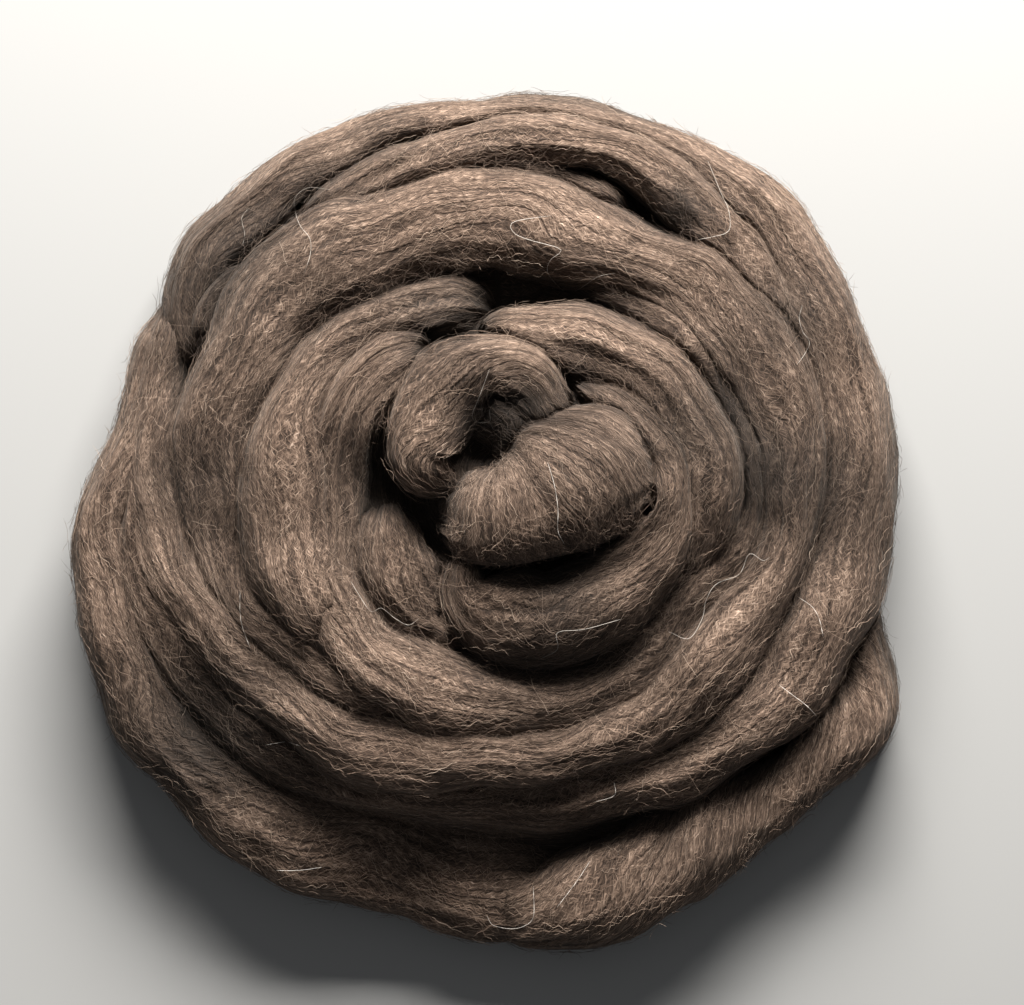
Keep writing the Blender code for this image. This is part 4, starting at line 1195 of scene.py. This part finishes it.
def principled(name, roughness, sheen, sheen_roughness):
    """A new matt material, and its shader."""
    material = bpy.data.materials.new(name)
    material.use_nodes = True
    shader = material.node_tree.nodes["Principled BSDF"]
    looks = {"Roughness": roughness, "Specular IOR Level": SPECULAR, "Sheen Weight": sheen,
             "Sheen Roughness": sheen_roughness, "Sheen Tint": SHEEN_TINT}
    for socket, value in looks.items():
        shader.inputs[socket].default_value = value
    return material, shader


WOOL_STOPS = (
    (0.50, (0.026, 0.0155, 0.010)),
    (0.62, (0.088, 0.056, 0.039)),
    (0.72, (0.222, 0.152, 0.110)),
    (0.84, (0.450, 0.338, 0.262)),
)
FIBRE_STOPS = (
    (0.0, (0.055, 0.034, 0.023)),
    (0.45, (0.160, 0.106, 0.076)),
    (0.8, (0.325, 0.232, 0.172)),
    (1.0, (0.500, 0.388, 0.300)),
)
HAIR_STOPS = (
    (0.0, (0.38, 0.33, 0.28)),
    (1.0, (0.66, 0.60, 0.54)),
)


def turns_material(group, shade_group):
    """Combed wool of the turns: streaked colour and bump from the fibre map."""
    material, shader = principled("combed wool", *TURNS_FINISH)
    tree = material.node_tree
    uv = tree.nodes.new("ShaderNodeUVMap")
    uv.uv_map = "fibre_map"
    wool = tree.nodes.new("ShaderNodeGroup")
    wool.node_tree = group
    tree.links.new(uv.outputs["UV"], wool.inputs["Fibre Map"])
    colour = colour_ramp(tree, wool.outputs["Tone"], WOOL_STOPS)
    tree.links.new(paint_shade_into(tree, shade_group, colour, TURNS_SHADE_MOST), shader.inputs["Base Color"])
    bump = tree.nodes.new("ShaderNodeBump")
    bump.inputs["Strength"].default_value = BUMP_STRENGTH
    bump.inputs["Distance"].default_value = BUMP_DISTANCE
    tree.links.new(wool.outputs["Height"], bump.inputs["Height"])
    tree.links.new(bump.outputs["Normal"], shader.inputs["Normal"])
    return material


def fibre_material(name, stops, shade_group):
    """Single fibres: the tone carried by each one picks its colour."""
    material, shader = principled(name, *FIBRE_FINISH)
    tree = material.node_tree
    tone = tree.nodes.new("ShaderNodeAttribute")
    tone.attribute_name = "tone"
    colour = colour_ramp(tree, tone.outputs["Fac"], stops)
    tree.links.new(paint_shade_into(tree, shade_group, colour, FIBRES_SHADE_MOST), shader.inputs["Base Color"])
    return material


def floor_material():
    """Plain pale matt floor."""
    material, shader = principled("pale floor", *FLOOR_FINISH)
    shader.inputs["Base Color"].default_value = FLOOR_COLOUR
    return material


# ---- light, floor and camera ---------------------------------------------------------
CAMERA_X = 8.7  # middle of the picture, millimetres in the frame
CAMERA_Y = 6.0
PICTURE_WIDTH = 307.2  # width of the picture at the height of the outer turns
CAMERA_RISE = 1400.0
FOCUS_HEIGHT = 22.0
SENSOR = 36.0
CLIP = (0.01, 20.0)  # nearest and farthest that is seen, metres
FLOOR_REACH = 3.0  # metres, as for the next three
WINDOW_PLACE = (0.08, 1.02, 0.56)
WINDOW_SIZE = (0.9, 0.4)
LIT_PLACE = (0.0, 0.0, 0.02)
WINDOW_POWER = 72.0
WINDOW_COLOUR = (1.0, 0.98, 0.95)
ROOM_COLOUR = (0.93, 0.96, 1.0, 1.0)
ROOM_STRENGTH = 0.16


def add_floor():
    """A wide pale sheet under the nest."""
    corners = FLOOR_REACH * np.array([(-1, -1, 0), (1, -1, 0), (1, 1, 0), (-1, 1, 0)])
    no_tris = np.zeros((0, 3), dtype=int)
    floor = new_mesh("pale_floor", corners, np.array([[0, 1, 2, 3]]), no_tris)
    floor.data.materials.append(floor_material())


def add_light():
    """A large soft window beyond the top of the picture, and dim light from all round."""
    data = bpy.data.lights.new("window", "AREA")
    data.shape = "RECTANGLE"
    data.size, data.size_y = WINDOW_SIZE
    data.energy = WINDOW_POWER
    data.color = WINDOW_COLOUR
    lamp = bpy.data.objects.new("window", data)
    lamp.location = WINDOW_PLACE
    way = Vector(LIT_PLACE) - Vector(WINDOW_PLACE)
    lamp.rotation_euler = way.to_track_quat("-Z", "Y").to_euler()
    bpy.context.collection.objects.link(lamp)
    world = bpy.data.worlds.new("room")
    world.use_nodes = True
    background = world.node_tree.nodes["Background"]
    background.inputs["Color"].default_value = ROOM_COLOUR
    background.inputs["Strength"].default_value = ROOM_STRENGTH
    bpy.context.scene.world = world


def add_camera():
    """Straight above, with a long lens."""
    data = bpy.data.cameras.new("above")
    data.sensor_width = SENSOR
    data.lens = SENSOR * (CAMERA_RISE - FOCUS_HEIGHT) / PICTURE_WIDTH
    data.clip_start, data.clip_end = CLIP
    camera = bpy.data.objects.new("above", data)
    camera.location = (CAMERA_X * MM, CAMERA_Y * MM, CAMERA_RISE * MM)
    bpy.context.collection.objects.link(camera)
    bpy.context.scene.camera = camera


# ---- the nest ------------------------------------------------------------------------
def build():
    """Turns, fibres and hairs, all riding on the one body."""
    turns, surface = all_turns()
    maps = surface, ball_surface(surface, SHADE_BALL_RADIUS, SHADE_BALL_REACH)
    body = turns_piece(turns)
    bed = bed_piece(surface)
    # Paint shade into the turns and the bed: darker in creases and hollows and at the listed spots,
    # lighter at a few.
    add_painted_shade(body, maps)
    add_painted_shade(bed, maps)
    shade_group = painted_shade_group()
    combed = turns_material(combed_wool_group(), shade_group)
    body.data.materials.append(combed)
    bed.data.materials.append(combed)
    tree = BVHTree.FromPolygons([v.co for v in body.data.vertices],
                                [tuple(p.vertices) for p in body.data.polygons])
    wool = fibre_material("single wool fibre", FIBRE_STOPS, shade_group)
    pieces = []
    laid = gather_fibres(turns, tree, LAID, LAID_SEED)
    count = len(laid[0]) // LAID_PIECES + 1
    for number in range(LAID_PIECES):
        part = tuple(column[number * count:(number + 1) * count] for column in laid)
        pieces.append(fibre_piece(f"laid_fibres_{number + 1}", *part))
    crossing = crossing_fibres(maps, CROSSING, CROSSING_SEED)
    pieces.append(fibre_piece("crossing_fibres", *crossing))
    fuzz = gather_fibres(turns, tree, FUZZ, FUZZ_SEED)
    pieces.append(fibre_piece("rim_fuzz", *fuzz))
    # The fibres get the same painted shade as the turns.
    for piece in pieces:
        add_painted_shade(piece, maps)
        piece.data.materials.append(wool)
    hairs = hair_paths(tree)
    upward = np.zeros_like(hairs)
    upward[:, :, 2] = 1.0
    tone = np.linspace(*HAIR_TONES, len(hairs))
    radius = np.full(len(hairs), HAIR_RADIUS * MM)
    hair = fibre_piece("guard_hairs", hairs, upward, radius, tone, 4)
    add_painted_shade(hair, maps)
    hair.data.materials.append(fibre_material("pale guard hair", HAIR_STOPS, shade_group))
    for piece in pieces + [hair, bed]:
        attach(piece, "root")
    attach(body, "root")
    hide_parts("roving_nest")


build()
add_floor()
add_light()
add_camera()
bpy.context.scene.view_settings.view_transform = "Standard"
